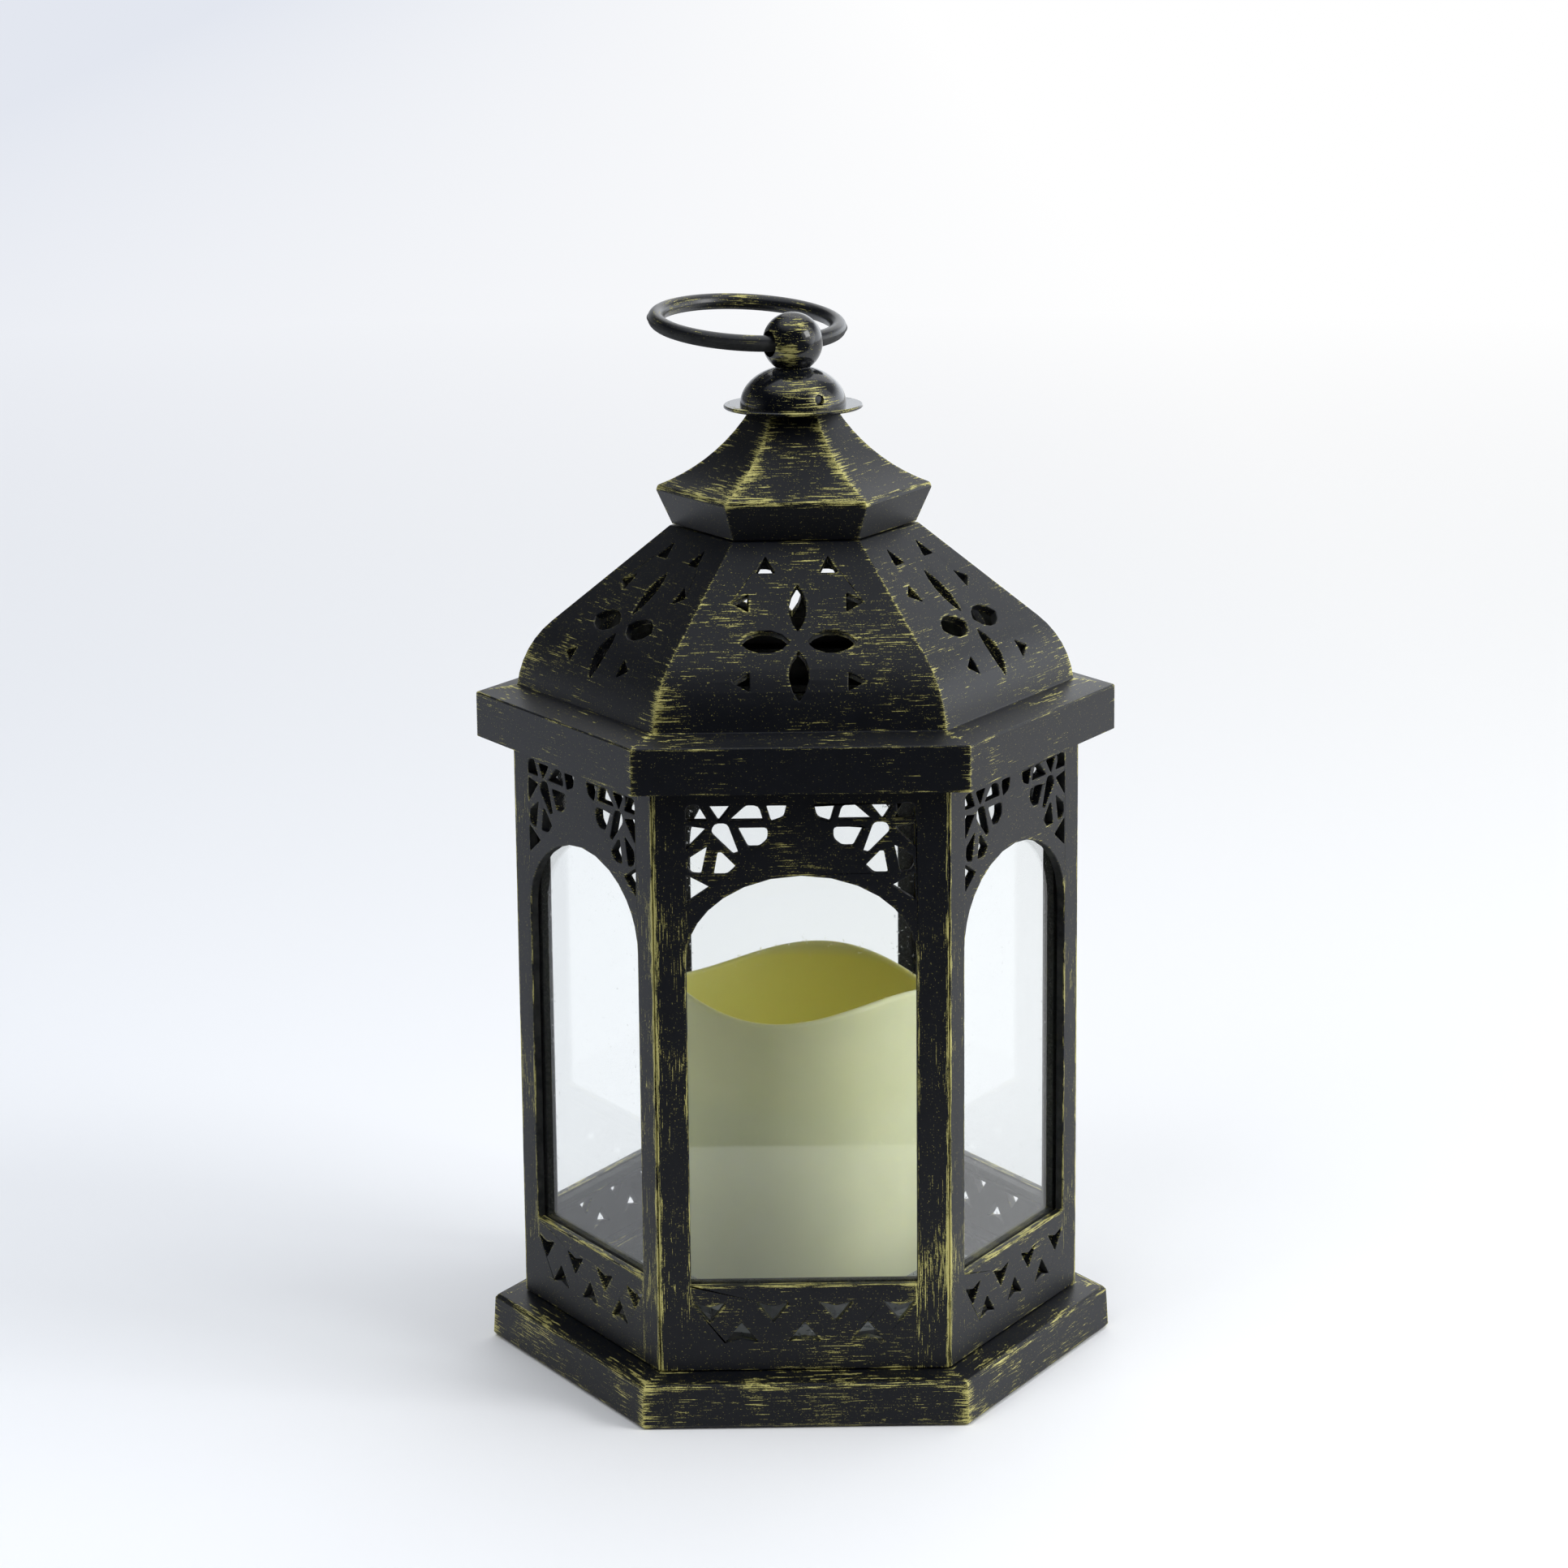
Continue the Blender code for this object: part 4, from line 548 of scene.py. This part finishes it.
def candle_wax(finishes):
    """Ivory wax-look vinyl: soft sheen, a little light under its skin, and a painted glow that
    makes the inside yellower.
    """
    material, tree = new_material("ivory_wax_vinyl")
    point = add(tree, "TexCoord").node.outputs["Object"]
    x, y, height = add(tree, "SeparateXYZ", point).node.outputs
    level = add(tree, "CombineXYZ", x, y, 0.0)
    out = add(tree, "VectorMath", level, operation="LENGTH").node.outputs["Value"]
    middle = CANDLE_RADIUS - CANDLE_WALL / 2
    # Painted glow: the inner face of the wall, fading out just under the rim, gets the yellower
    # recess colour for light caught inside.
    inside_painted_glow = add(tree, "MapRange", out, (middle - 0.4) * MM, (middle + 0.6) * MM, 1.0, 0.0)
    depth = add(tree, "MapRange", height, GLOW_FADED * MM, GLOW_FULL * MM, 0.25, 1.0)
    inside_painted_glow = add(tree, "Math", inside_painted_glow, depth, operation="MULTIPLY")
    cloud = add(tree, "TexNoise", point, 1000 / WAX_CLOUD_SIZE, 3.0, 0.55)
    outside = add(tree, "Mix", add(tree, "MapRange", cloud, *CLOUD_SPREAD), finishes.wax,
                  linear("#C1C59D"), data_type="RGBA")
    colour = add(tree, "Mix", inside_painted_glow, outside, finishes.wax_inside_painted_glow, data_type="RGBA")
    skin = add(tree, "TexNoise", point, 1000 / WAX_SKIN_SIZE, 2.0, 0.5)
    bump = add(tree, "Bump", 0.12, 0.1 * MM, sockets={"Height": skin})
    rough = add(tree, "MapRange", cloud, *CLOUD_SPREAD, 0.42, 0.52)
    sheen = add(tree, "MapRange", inside_painted_glow, 0.0, 1.0, 0.4, 0.05)
    soft = add(tree, "MapRange", inside_painted_glow, 0.0, 1.0, 0.6, 0.45)
    shader = add(tree, "BsdfPrincipled", sockets={
        "Base Color": colour, "Roughness": rough, "Normal": bump, "Specular IOR Level": sheen,
        "Subsurface Weight": soft, "Subsurface Radius": (1.0, 0.85, 0.35),
        "Subsurface Scale": 6 * MM})
    add(tree, "OutputMaterial", shader)
    return material


def plain_finish(name, first, second, size, roughness, metallic=0.0, transmission=0.0):
    """A small part's finish: two tones in cloudy patches of a size in millimetres."""
    material, tree = new_material(name)
    point = add(tree, "TexCoord").node.outputs["Object"]
    cloud = add(tree, "TexNoise", point, 1000 / size, 3.0, 0.6)
    mix = add(tree, "MapRange", cloud, 0.35, 0.65)
    colour = add(tree, "Mix", mix, linear(first), linear(second), data_type="RGBA")
    rough = add(tree, "MapRange", cloud, *CLOUD_SPREAD, roughness * 0.8, roughness * 1.2)
    normal = add(tree, "Bump", 0.2, 0.05 * MM, sockets={"Height": cloud})
    shader = add(tree, "BsdfPrincipled", sockets={
        "Base Color": colour, "Roughness": rough, "Normal": normal, "Metallic": metallic,
        "Transmission Weight": transmission})
    add(tree, "OutputMaterial", shader)
    return material


def finish_nodes(material, *nodes):
    """Give CAD nodes their material."""
    for node in nodes:
        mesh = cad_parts[node].data
        mesh.materials.clear()
        mesh.materials.append(material)


def stand_in(name, mesh, material, nodes, body=ROOT, place=None):
    """A finer piece that stands for CAD nodes and rides on their body."""
    piece = bpy.data.objects.new(name, mesh)
    bpy.context.scene.collection.objects.link(piece)
    if place is not None:
        piece.matrix_world = place
    mesh.materials.clear()
    mesh.materials.append(material)
    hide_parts(*nodes)
    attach(piece, body)
    return piece


def softened(node, material, rounding):
    """A painted CAD node's own shape with its moulded edges rounded."""
    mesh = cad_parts[node].data.copy()
    shape = bmesh.new()
    shape.from_mesh(mesh)
    bmesh.ops.remove_doubles(shape, verts=shape.verts, dist=WELD)
    shape.to_mesh(mesh)
    shape.free()
    mesh.shade_smooth()
    piece = stand_in(node + "_moulding", mesh, material, [node])
    bevel = piece.modifiers.new("rounded_edges", "BEVEL")
    bevel.width = rounding
    bevel.segments = 2
    bevel.limit_method = "ANGLE"
    bevel.angle_limit = EDGE_ANGLE
    bevel.use_clamp_overlap = False
    bevel.miter_outer = "MITER_ARC"
    normals = piece.modifiers.new("even_normals", "WEIGHTED_NORMAL")
    normals.keep_sharp = False


def settle(piece):
    """Apply a piece's modifiers."""
    depsgraph = bpy.context.evaluated_depsgraph_get()
    depsgraph.update()
    mesh = bpy.data.meshes.new_from_object(piece.evaluated_get(depsgraph))
    piece.modifiers.clear()
    piece.data = mesh


def mesh_from(shape, name):
    """A mesh of a finished shape, which is freed."""
    mesh = bpy.data.meshes.new(name)
    shape.to_mesh(mesh)
    shape.free()
    return mesh


def lathe(profile, steps):
    """A shape turned about Z from (radius, height) points in millimetres, from the top down."""
    shape = bmesh.new()
    rows = []
    for radius, height in profile:
        if radius < 1e-6:
            rows.append([shape.verts.new((0, 0, height * MM))])
            continue
        rows.append([shape.verts.new((radius * MM * math.cos(math.tau * step / steps),
                                      radius * MM * math.sin(math.tau * step / steps),
                                      height * MM)) for step in range(steps)])
    for above, below in zip(rows, rows[1:]):
        for step in range(steps):
            after = (step + 1) % steps
            ring = [above[step % len(above)], below[step % len(below)],
                    below[after % len(below)], above[after % len(above)]]
            face = list(dict.fromkeys(ring))
            if len(face) > 2:
                shape.faces.new(face)
    return shape


def rounded_profile(points, radii, steps=4):
    """A profile whose inner corners are rounded by the given radii, in millimetres."""
    result = [points[0]]
    for index in range(1, len(points) - 1):
        corner = Vector(points[index])
        before = Vector(points[index - 1]) - corner
        after = Vector(points[index + 1]) - corner
        reach = min(radii.get(index, 0.0), 0.45 * before.length, 0.45 * after.length)
        if reach <= 0:
            result.append(tuple(corner))
            continue
        start = corner + before.normalized() * reach
        end = corner + after.normalized() * reach
        for step in range(steps + 1):
            t = step / steps
            point = start * (1 - t) ** 2 + corner * 2 * t * (1 - t) + end * t ** 2
            result.append(tuple(point))
    result.append(points[-1])
    return result


def rod_between(start, end, radius, steps=32):
    """A rod that only cuts."""
    shape = bmesh.new()
    start, end = Vector(start), Vector(end)
    bmesh.ops.create_cone(shape, cap_ends=True, segments=steps, radius1=radius, radius2=radius,
                          depth=(end - start).length)
    turn = Vector((0, 0, 1)).rotation_difference(end - start).to_matrix().to_4x4()
    middle = Matrix.Translation((start + end) / 2)
    bmesh.ops.transform(shape, verts=shape.verts, matrix=middle @ turn)
    bore = bpy.data.objects.new("bore", mesh_from(shape, "bore"))
    bpy.context.scene.collection.objects.link(bore)
    bore.hide_render = True
    return bore


class LANTERN_OT_panels(bpy.types.Operator):
    """Six arched side panels with fretwork, and the frames behind their panes"""
    bl_idname = "lantern.panels"
    bl_label = "Side panels"

    def execute(self, context):
        finishes = context.scene.lantern_finishes
        paint = panel_paint(finishes)
        raw = raw_plastic(finishes)
        for side in range(1, SIDES + 1):
            softened(f"side_panel_{side}", paint, finishes.rounding)
            finish_nodes(raw, f"pane_retainer_{side}")
        return {"FINISHED"}


class LANTERN_OT_glazing(bpy.types.Operator):
    """Six clear panes"""
    bl_idname = "lantern.glazing"
    bl_label = "Panes"

    def execute(self, context):
        glass = clear_pane(context.scene.lantern_finishes)
        finish_nodes(glass, *[f"window_pane_{side}" for side in range(1, SIDES + 1)])
        return {"FINISHED"}


class LANTERN_OT_foot(bpy.types.Operator):
    """Hexagonal foot"""
    bl_idname = "lantern.foot"
    bl_label = "Foot"

    def execute(self, context):
        finishes = context.scene.lantern_finishes
        paint = hexagon_paint(
            "satin_black_brushed_gold_foot", finishes, levels=[(10.9, 1.5, 0.5)],
            field=(11.4, 0.06, -0.01), corner=(4.0, 0, 11, 1.0), hollow=(65.5, 10.9))
        softened("base_plinth", paint, finishes.rounding)
        return {"FINISHED"}


class LANTERN_OT_roof(bpy.types.Operator):
    """Brim, pierced dome and bell-shaped cap"""
    bl_idname = "lantern.roof"
    bl_label = "Roof and cap"

    def execute(self, context):
        finishes = context.scene.lantern_finishes
        dome = hexagon_paint(
            "satin_black_brushed_gold_roof", finishes, levels=[(170.7, 1.2, 0.25)],
            field=(171.3, -0.08, 0.02), corner=(2.8, 176, 194, 0.35))
        softened("roof", dome, finishes.rounding)
        cap = hexagon_paint(
            "satin_black_brushed_gold_cap", finishes, levels=[(222.6, 1.6, 0.5)],
            field=(221.6, -0.14, 0.05), corner=(3.4, 225, 245, 0.9),
            touches=[(-8, -31, 225, 9, 0.18), (0, -25, 229, 14, 0.14),
                     (13, -26, 230, 12, 0.16)])
        softened("roof_cap", cap, finishes.rounding)
        return {"FINISHED"}


def finial_profile(low, knob, ball):
    """Ball, domed knob, flange, spigot and lip, from the top down, in millimetres."""
    flange = knob - FLANGE_THICKNESS
    sweep = math.pi - math.asin(CREASE_RADIUS / BALL_RADIUS)
    profile = [(BALL_RADIUS * math.sin(sweep * step / BALL_STEPS) if step else 0.0,
                ball + BALL_RADIUS * math.cos(sweep * step / BALL_STEPS))
               for step in range(BALL_STEPS + 1)]
    meet = math.asin(CREASE_RADIUS / KNOB_RADIUS)
    for step in range(KNOB_STEPS + 1):
        angle = meet + (math.pi / 2 - meet) * step / KNOB_STEPS
        profile.append((KNOB_RADIUS * math.sin(angle), knob + KNOB_HEIGHT * math.cos(angle)))
    return profile + [
        (FLANGE_RADIUS - FLANGE_EDGE, knob), (FLANGE_RADIUS, knob - FLANGE_EDGE),
        (FLANGE_RADIUS, flange + FLANGE_EDGE), (FLANGE_RADIUS - FLANGE_EDGE, flange),
        (SPIGOT_RADIUS, flange), (SPIGOT_RADIUS, low + LIP_HEIGHT),
        (LIP_RADIUS, low + LIP_HEIGHT), (LIP_RADIUS, low), (0.0, low)]


def half_turning(profile, outward, name):
    """The half of a turning on one side of the split, closed by a flat face."""
    shape = lathe(profile, FINIAL_STEPS)
    cut = bmesh.ops.bisect_plane(
        shape, geom=shape.verts[:] + shape.edges[:] + shape.faces[:],
        plane_co=outward * HALF_GAP * MM, plane_no=outward, clear_inner=True, dist=1e-7)
    edges = [e for e in cut["geom_cut"] if isinstance(e, bmesh.types.BMEdge)]
    bmesh.ops.triangle_fill(shape, edges=edges, use_beauty=True)
    bmesh.ops.recalc_face_normals(shape, faces=shape.faces)
    return mesh_from(shape, name)


class LANTERN_OT_finial(bpy.types.Operator):
    """Ball, knob and flange in two halves, and the pin that draws them together"""
    bl_idname = "lantern.finial"
    bl_label = "Finial"

    def execute(self, context):
        finishes = context.scene.lantern_finishes
        low, top = [corner.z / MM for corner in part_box("finial_rear_half")]
        ball = top - BALL_RADIUS
        knob = ball - BALL_RISE
        flange = knob - FLANGE_THICKNESS
        paint = turned_paint(
            "gloss_black_brushed_gold_finial", finishes, -0.06, 0.14, 12.0,
            touches=[(-1.2, -6.8, ball - 2.6, 4.6, 0.66), (2.2, -5, ball + 5.0, 3.2, 0.44),
                     (0, -11.5, knob + 5, 9.0, 0.26), (6, -11, knob + 2.5, 6.0, 0.26),
                     (0, -17, flange, 9.0, 0.33), (14, -10, flange, 8.0, 0.3),
                     (-14, -10, flange, 8.0, 0.3)])
        across = Matrix.Rotation(SPLIT_ANGLE, 4, "Z") @ Vector((1, 0, 0))
        forward = Matrix.Rotation(SPLIT_ANGLE - math.pi / 2, 4, "Z") @ Vector((1, 0, 0))
        middle = Vector((0, 0, ball * MM))
        pin = Vector((0, 0, (knob + PIN_RISE) * MM))
        far = 2 * FLANGE_RADIUS * MM
        cutters = [
            rod_between(middle - across * far, middle + across * far, RING_BORE_RADIUS * MM),
            rod_between(pin - forward * PIN_TAIL * MM, pin + forward * far,
                        PIN_BORE_RADIUS * MM),
            rod_between(pin + forward * PIN_RECESS_FLOOR * MM, pin + forward * far,
                        PIN_RECESS_RADIUS * MM)]
        profile = finial_profile(low, knob, ball)
        for node, side in (("finial_front_half", 1), ("finial_rear_half", -1)):
            mesh = half_turning(profile, forward * side, node + "_turning")
            piece = stand_in(node + "_turning", mesh, paint, [node])
            for cutter in cutters:
                boolean = piece.modifiers.new(cutter.name, "BOOLEAN")
                boolean.solver = "EXACT"
                boolean.object = cutter
            settle(piece)
            piece.data.shade_smooth()
            piece.data.set_sharp_from_angle(angle=FINIAL_EDGE)
        for cutter in cutters:
            bpy.data.objects.remove(cutter, do_unlink=True)
        # Dull steel: a small grey dot sunk in the knob.
        steel = plain_finish("dull_steel_pin", "#4A4B4C", "#77787A", 1.5, 0.35, 1.0)
        finish_nodes(steel, "finial_pin")
        return {"FINISHED"}


def ring_shape():
    """The ring's tube, with a fine ridge inside and outside where the mould's halves met."""
    shape = bmesh.new()
    rows = []
    for step in range(RING_STEPS):
        turn = Matrix.Rotation(math.tau * step / RING_STEPS, 4, "Z")
        row = []
        for place in range(TUBE_STEPS):
            angle = math.tau * place / TUBE_STEPS
            ridge = max(0.0, 1 - abs(math.sin(angle)) / RIDGE_WIDTH)
            radius = RING_TUBE - RING_TUBE_SUNK + RIDGE_HEIGHT * ridge
            point = Vector((RING_RADIUS + radius * math.cos(angle), 0,
                            radius * math.sin(angle))) * MM
            row.append(shape.verts.new(turn @ point))
        rows.append(row)
    for step, here in enumerate(rows):
        there = rows[(step + 1) % RING_STEPS]
        for place in range(TUBE_STEPS):
            after = (place + 1) % TUBE_STEPS
            shape.faces.new((here[place], there[place], there[after], here[after]))
    bmesh.ops.recalc_face_normals(shape, faces=shape.faces)
    return shape


class LANTERN_OT_ring(bpy.types.Operator):
    """Carrying ring with its parting line"""
    bl_idname = "lantern.ring"
    bl_label = "Ring"

    def execute(self, context):
        finishes = context.scene.lantern_finishes
        mesh = mesh_from(ring_shape(), "carrying_ring")
        mesh.shade_smooth()
        paint = turned_paint(
            "gloss_black_brushed_gold_ring", finishes, -0.04, 0.3, RING_RADIUS,
            touches=[(20, -11, 1.5, 8, 0.28), (9, -20, 1, 8, 0.16), (21, 9, 2, 8, 0.26),
                     (-20.3, 10.8, 1.5, 4, 0.3)])
        centre = Vector((0, 0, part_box("finial_rear_half")[1].z - BALL_RADIUS * MM))
        place = (Matrix.Translation(centre) @ Matrix.Rotation(SPLIT_ANGLE + math.pi / 2, 4, "Z")
                 @ Matrix.Rotation(-RING_LIFT, 4, "Y")
                 @ Matrix.Translation(((RING_RADIUS - RING_INSET) * MM, 0, 0)))
        stand_in("carrying_ring", mesh, paint, ["ring_handle"], "ring", place)
        return {"FINISHED"}


def candle_profile(foot, rim):
    """Rounded lip, outer wall, foot, inside, recess and back up to the lip, in millimetres."""
    half = CANDLE_WALL / 2
    inner = CANDLE_RADIUS - CANDLE_WALL
    recess = rim - RECESS_DEPTH
    turns = [math.radians(angle) for angle in range(0, 91, LIP_TURN)]
    lip = [(half * math.cos(turn), rim - half + half * math.sin(turn)) for turn in turns]
    levels = [rim - half - (RECESS_DEPTH / 2 - half) * step / WAVE_LEVELS
              for step in range(1, WAVE_LEVELS + 1)]
    profile = [(CANDLE_RADIUS - half + out, height) for out, height in reversed(lip)]
    profile += [(CANDLE_RADIUS, height) for height in levels]
    profile += rounded_profile([
        (CANDLE_RADIUS, rim - RECESS_DEPTH), (CANDLE_RADIUS, foot), (inner, foot),
        (inner, recess - RECESS_FLOOR), (FLAME_HOLE, recess - RECESS_FLOOR),
        (FLAME_HOLE, recess), (inner, recess), (inner, levels[-1])],
        {1: 0.6, 2: 0.3, 5: 0.6, 6: 1.6})
    profile += [(inner, height) for height in reversed(levels[:-1])]
    return profile + [(CANDLE_RADIUS - half - out, height) for out, height in lip]


def candle_mesh(foot):
    """The pillar, its rim drawn into three soft waves."""
    rim = foot + CANDLE_HEIGHT
    shape = lathe(candle_profile(foot, rim), CANDLE_STEPS)
    bmesh.ops.remove_doubles(shape, verts=shape.verts, dist=1e-7)
    wave_from = rim - RECESS_DEPTH / 2
    for vertex in shape.verts:
        share = (vertex.co.z / MM - wave_from) / (rim - wave_from)
        if share > 0:
            angle = math.atan2(vertex.co.y, vertex.co.x)
            lift = CANDLE_WAVE * math.cos(CANDLE_LOBES * (angle - CANDLE_CREST))
            vertex.co.z += lift * MM * min(1.0, share)
    bmesh.ops.recalc_face_normals(shape, faces=shape.faces)
    mesh = mesh_from(shape, "pillar_candle")
    mesh.shade_smooth()
    mesh.set_sharp_from_angle(angle=CANDLE_EDGE)
    return mesh


class LANTERN_OT_candle(bpy.types.Operator):
    """Pillar candle with its wavy rim, and the light inside it"""
    bl_idname = "lantern.candle"
    bl_label = "Candle"

    def execute(self, context):
        mesh = candle_mesh(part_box("candle_shell")[0].z / MM)
        wax = candle_wax(context.scene.lantern_finishes)
        stand_in("pillar_candle", mesh, wax, ["candle_shell"])
        # Frosted vinyl: a pale, milky flame that light passes into but not through.
        flame = plain_finish("frosted_vinyl_flame", "#EFE2BE", "#F7EED6", 3, 0.45,
                             transmission=0.2)
        finish_nodes(flame, "flame_tip")
        # Clear epoxy: a glassy, faintly warm bead.
        lamp = plain_finish("clear_epoxy_lamp", "#F4EFD8", "#FAF7EA", 2, 0.12, transmission=0.6)
        finish_nodes(lamp, "led")
        # Solder mask: the deep, slightly glossy green of a circuit board.
        board = plain_finish("green_solder_mask", "#1B5433", "#246A41", 1.2, 0.4)
        finish_nodes(board, "led_board", "timer_board")
        return {"FINISHED"}


class LANTERN_OT_housing(bpy.types.Operator):
    """Battery housing, door, cells, contacts, switch and screws"""
    bl_idname = "lantern.housing"
    bl_label = "Battery housing"

    def execute(self, context):
        finishes = context.scene.lantern_finishes
        raw = bpy.data.materials.get("raw_black_abs") or raw_plastic(finishes)
        finish_nodes(raw, "battery_door", "led_post")
        # Grey housing with painted light: a mid grey made light enough that the shaded housing
        # shows as lit grey through the darts under the candle.
        grey = plain_finish("grey_housing_with_painted_light", "#686B6E", "#76797A", 2.5, 0.3)
        finish_nodes(grey, "battery_housing")
        # Black nylon: darker and smoother than the mouldings round it.
        nylon = plain_finish("black_nylon_switch", "#101113", "#17181A", 2, 0.35)
        finish_nodes(nylon, "power_switch", "switch_slider")
        # Zinc plate: bright, cloudy silver.
        zinc = plain_finish("zinc_plated_steel", "#A9ACB0", "#C4C7CA", 1.5, 0.3, 1.0)
        finish_nodes(zinc, "housing_screw_1", "housing_screw_2", "housing_screw_3",
                     "contact_strip_left", "contact_strip_right")
        # Printed foil: a dark jacket with a metal sheen.
        foil = plain_finish("printed_foil_jacket", "#33363C", "#44484F", 6, 0.28, 0.5)
        finish_nodes(foil, "battery_1", "battery_2", "battery_3")
        return {"FINISHED"}


def place_camera(scene):
    """The photo's point of view."""
    camera = bpy.data.cameras.new("camera")
    camera.sensor_width = SENSOR
    camera.lens = LENS
    viewer = bpy.data.objects.new("camera", camera)
    viewer.location = CAMERA_PLACE
    viewer.rotation_euler = [math.radians(angle) for angle in CAMERA_TURN]
    scene.collection.objects.link(viewer)
    scene.camera = viewer


def paper(stage):
    """Matt white paper, painted darker and bluer to the left as shade, fading far away into an
    even pale tone.

    From underneath it isn't there, so that the lantern can be seen from below.
    """
    material, tree = new_material("matt_white_paper")
    point = add(tree, "TexCoord").node.outputs["Object"]
    x = add(tree, "SeparateXYZ", point).node.outputs["X"]
    # Painted shade: the paper turns darker and bluer towards the left, away from the light on the
    # right; far off, the same shade is shown evenly to the camera.
    shade = add(tree, "Mix", add(tree, "MapRange", x, *FLOOR_SHADE), stage.floor_painted_shade,
                stage.floor_light, data_type="RGBA")
    matt = add(tree, "BsdfPrincipled", sockets={"Base Color": shade, "Roughness": 0.8,
                                                "Specular IOR Level": 0.1})
    path = add(tree, "LightPath").node.outputs
    looked = largest(tree, [path["Is Camera Ray"], path["Is Glossy Ray"],
                            path["Is Transmission Ray"]])
    away = add(tree, "VectorMath", point, operation="LENGTH").node.outputs["Value"]
    far = add(tree, "MapRange", away, *FLOOR_FADE)
    even = add(tree, "Emission", shade, 1.0)
    paint = add(tree, "MixShader", add(tree, "Math", far, looked, operation="MULTIPLY"), matt,
                even)
    under = add(tree, "NewGeometry").node.outputs["Backfacing"]
    shader = add(tree, "MixShader", under, paint, add(tree, "BsdfTransparent"))
    add(tree, "OutputMaterial", shader)
    return material


def lay_floor(scene, stage):
    """A level floor with a hexagonal hole, hidden under the foot, that lights the underside."""
    inner = [(FLOOR_HOLE * math.cos(SECTOR * step), FLOOR_HOLE * math.sin(SECTOR * step), 0)
             for step in range(SIDES)]
    outer = [(FLOOR_SIDE, 0, 0), (FLOOR_SIDE, FLOOR_SIDE, 0), (-FLOOR_SIDE, FLOOR_SIDE, 0),
             (-FLOOR_SIDE, 0, 0), (-FLOOR_SIDE, FLOOR_NEAR, 0), (FLOOR_SIDE, FLOOR_NEAR, 0)]
    faces = [(step, SIDES + step, SIDES + (step + 1) % SIDES, (step + 1) % SIDES)
             for step in range(SIDES)]
    mesh = bpy.data.meshes.new("floor")
    mesh.from_pydata(inner + outer, [], faces)
    mesh.materials.append(paper(stage))
    floor = bpy.data.objects.new("floor", mesh)
    scene.collection.objects.link(floor)
    floor.location.z = -FLOOR_DROP


def surround(scene, stage):
    """Pale studio walls: what the surfaces mirror, and a plain tone for the camera."""
    world = bpy.data.worlds.new("studio")
    world.use_nodes = True
    tree = world.node_tree
    tree.nodes.clear()
    seen = add(tree, "LightPath").node.outputs["Is Camera Ray"]
    way = add(tree, "SeparateXYZ", add(tree, "TexCoord").node.outputs["Generated"]).node.outputs
    ahead = add(tree, "MapRange", way["Y"], *SKY_AHEAD, stage.sky)
    aside = add(tree, "MapRange", way["X"], *SKY_ASIDE)
    higher = add(tree, "MapRange", way["Z"], *SKY_HIGHER)
    above = add(tree, "MapRange", way["Z"], *SKY_ABOVE, stage.over)
    glow = add(tree, "Math", ahead, aside, operation="MULTIPLY")
    glow = add(tree, "Math", glow, higher, above, operation="MULTIPLY_ADD")
    lit = add(tree, "Background", SKY_TINT, glow)
    plain = add(tree, "Background", linear("#EDF0F6"), 1.0)
    add(tree, "OutputWorld", add(tree, "MixShader", seen, lit, plain))
    scene.world = world


def hang_lights(scene, stage):
    """Two broad suns and two softboxes, all aimed at the lantern's middle.

    The fill isn't mirrored: a second bright square in the panes would hide the candle.
    """
    for name, kind, power, place, size in (
            ("back", "SUN", stage.back, (0.15, 0.75, 0.75), math.radians(50)),
            ("right", "SUN", stage.right, (0.85, -0.25, 0.55), math.radians(60)),
            ("key", "AREA", stage.key_power, (1.14, -0.51, 0.96), 0.5),
            ("fill", "AREA", stage.fill_power, (-0.8, -1.1, 1.3), 1.2)):
        lamp = bpy.data.lights.new(name, kind)
        lamp.energy = power
        if kind == "SUN":
            lamp.angle = size
        else:
            lamp.size = size
        holder = bpy.data.objects.new(name, lamp)
        holder.location = place
        holder.visible_glossy = name != "fill"
        aim = LIGHT_AIM - Vector(place)
        holder.rotation_euler = aim.to_track_quat("-Z", "Y").to_euler()
        scene.collection.objects.link(holder)


class LANTERN_OT_stage(bpy.types.Operator):
    """Camera, floor and soft studio light"""
    bl_idname = "lantern.stage"
    bl_label = "Stage"

    def execute(self, context):
        scene = context.scene
        place_camera(scene)
        scene.view_settings.view_transform = "Standard"
        lay_floor(scene, scene.lantern_stage)
        surround(scene, scene.lantern_stage)
        hang_lights(scene, scene.lantern_stage)
        return {"FINISHED"}


class LANTERN_PT_sidebar(bpy.types.Panel):
    """Buttons for the lantern's pieces and stage"""
    bl_idname = "LANTERN_PT_sidebar"
    bl_label = "Hurricane Lantern"
    bl_space_type = "VIEW_3D"
    bl_region_type = "UI"
    bl_category = "Lantern"

    def draw(self, context):
        for group in (context.scene.lantern_finishes, context.scene.lantern_stage):
            column = self.layout.column()
            for name in group.__annotations__:
                column.prop(group, name)
        for operator in OPERATORS:
            self.layout.operator(operator.bl_idname)


OPERATORS = (LANTERN_OT_stage, LANTERN_OT_panels, LANTERN_OT_glazing, LANTERN_OT_foot,
             LANTERN_OT_roof, LANTERN_OT_finial, LANTERN_OT_ring, LANTERN_OT_candle,
             LANTERN_OT_housing)
CLASSES = (LanternFinishes, LanternStage, *OPERATORS, LANTERN_PT_sidebar)


def register():
    for cls in CLASSES:
        bpy.utils.register_class(cls)
    bpy.types.Scene.lantern_finishes = PointerProperty(type=LanternFinishes)
    bpy.types.Scene.lantern_stage = PointerProperty(type=LanternStage)


def unregister():
    del bpy.types.Scene.lantern_stage
    del bpy.types.Scene.lantern_finishes
    for cls in reversed(CLASSES):
        bpy.utils.unregister_class(cls)


def main():
    register()
    for operator in OPERATORS:
        getattr(bpy.ops.lantern, operator.bl_idname.split(".")[1])()


if __name__ == "__main__":
    main()
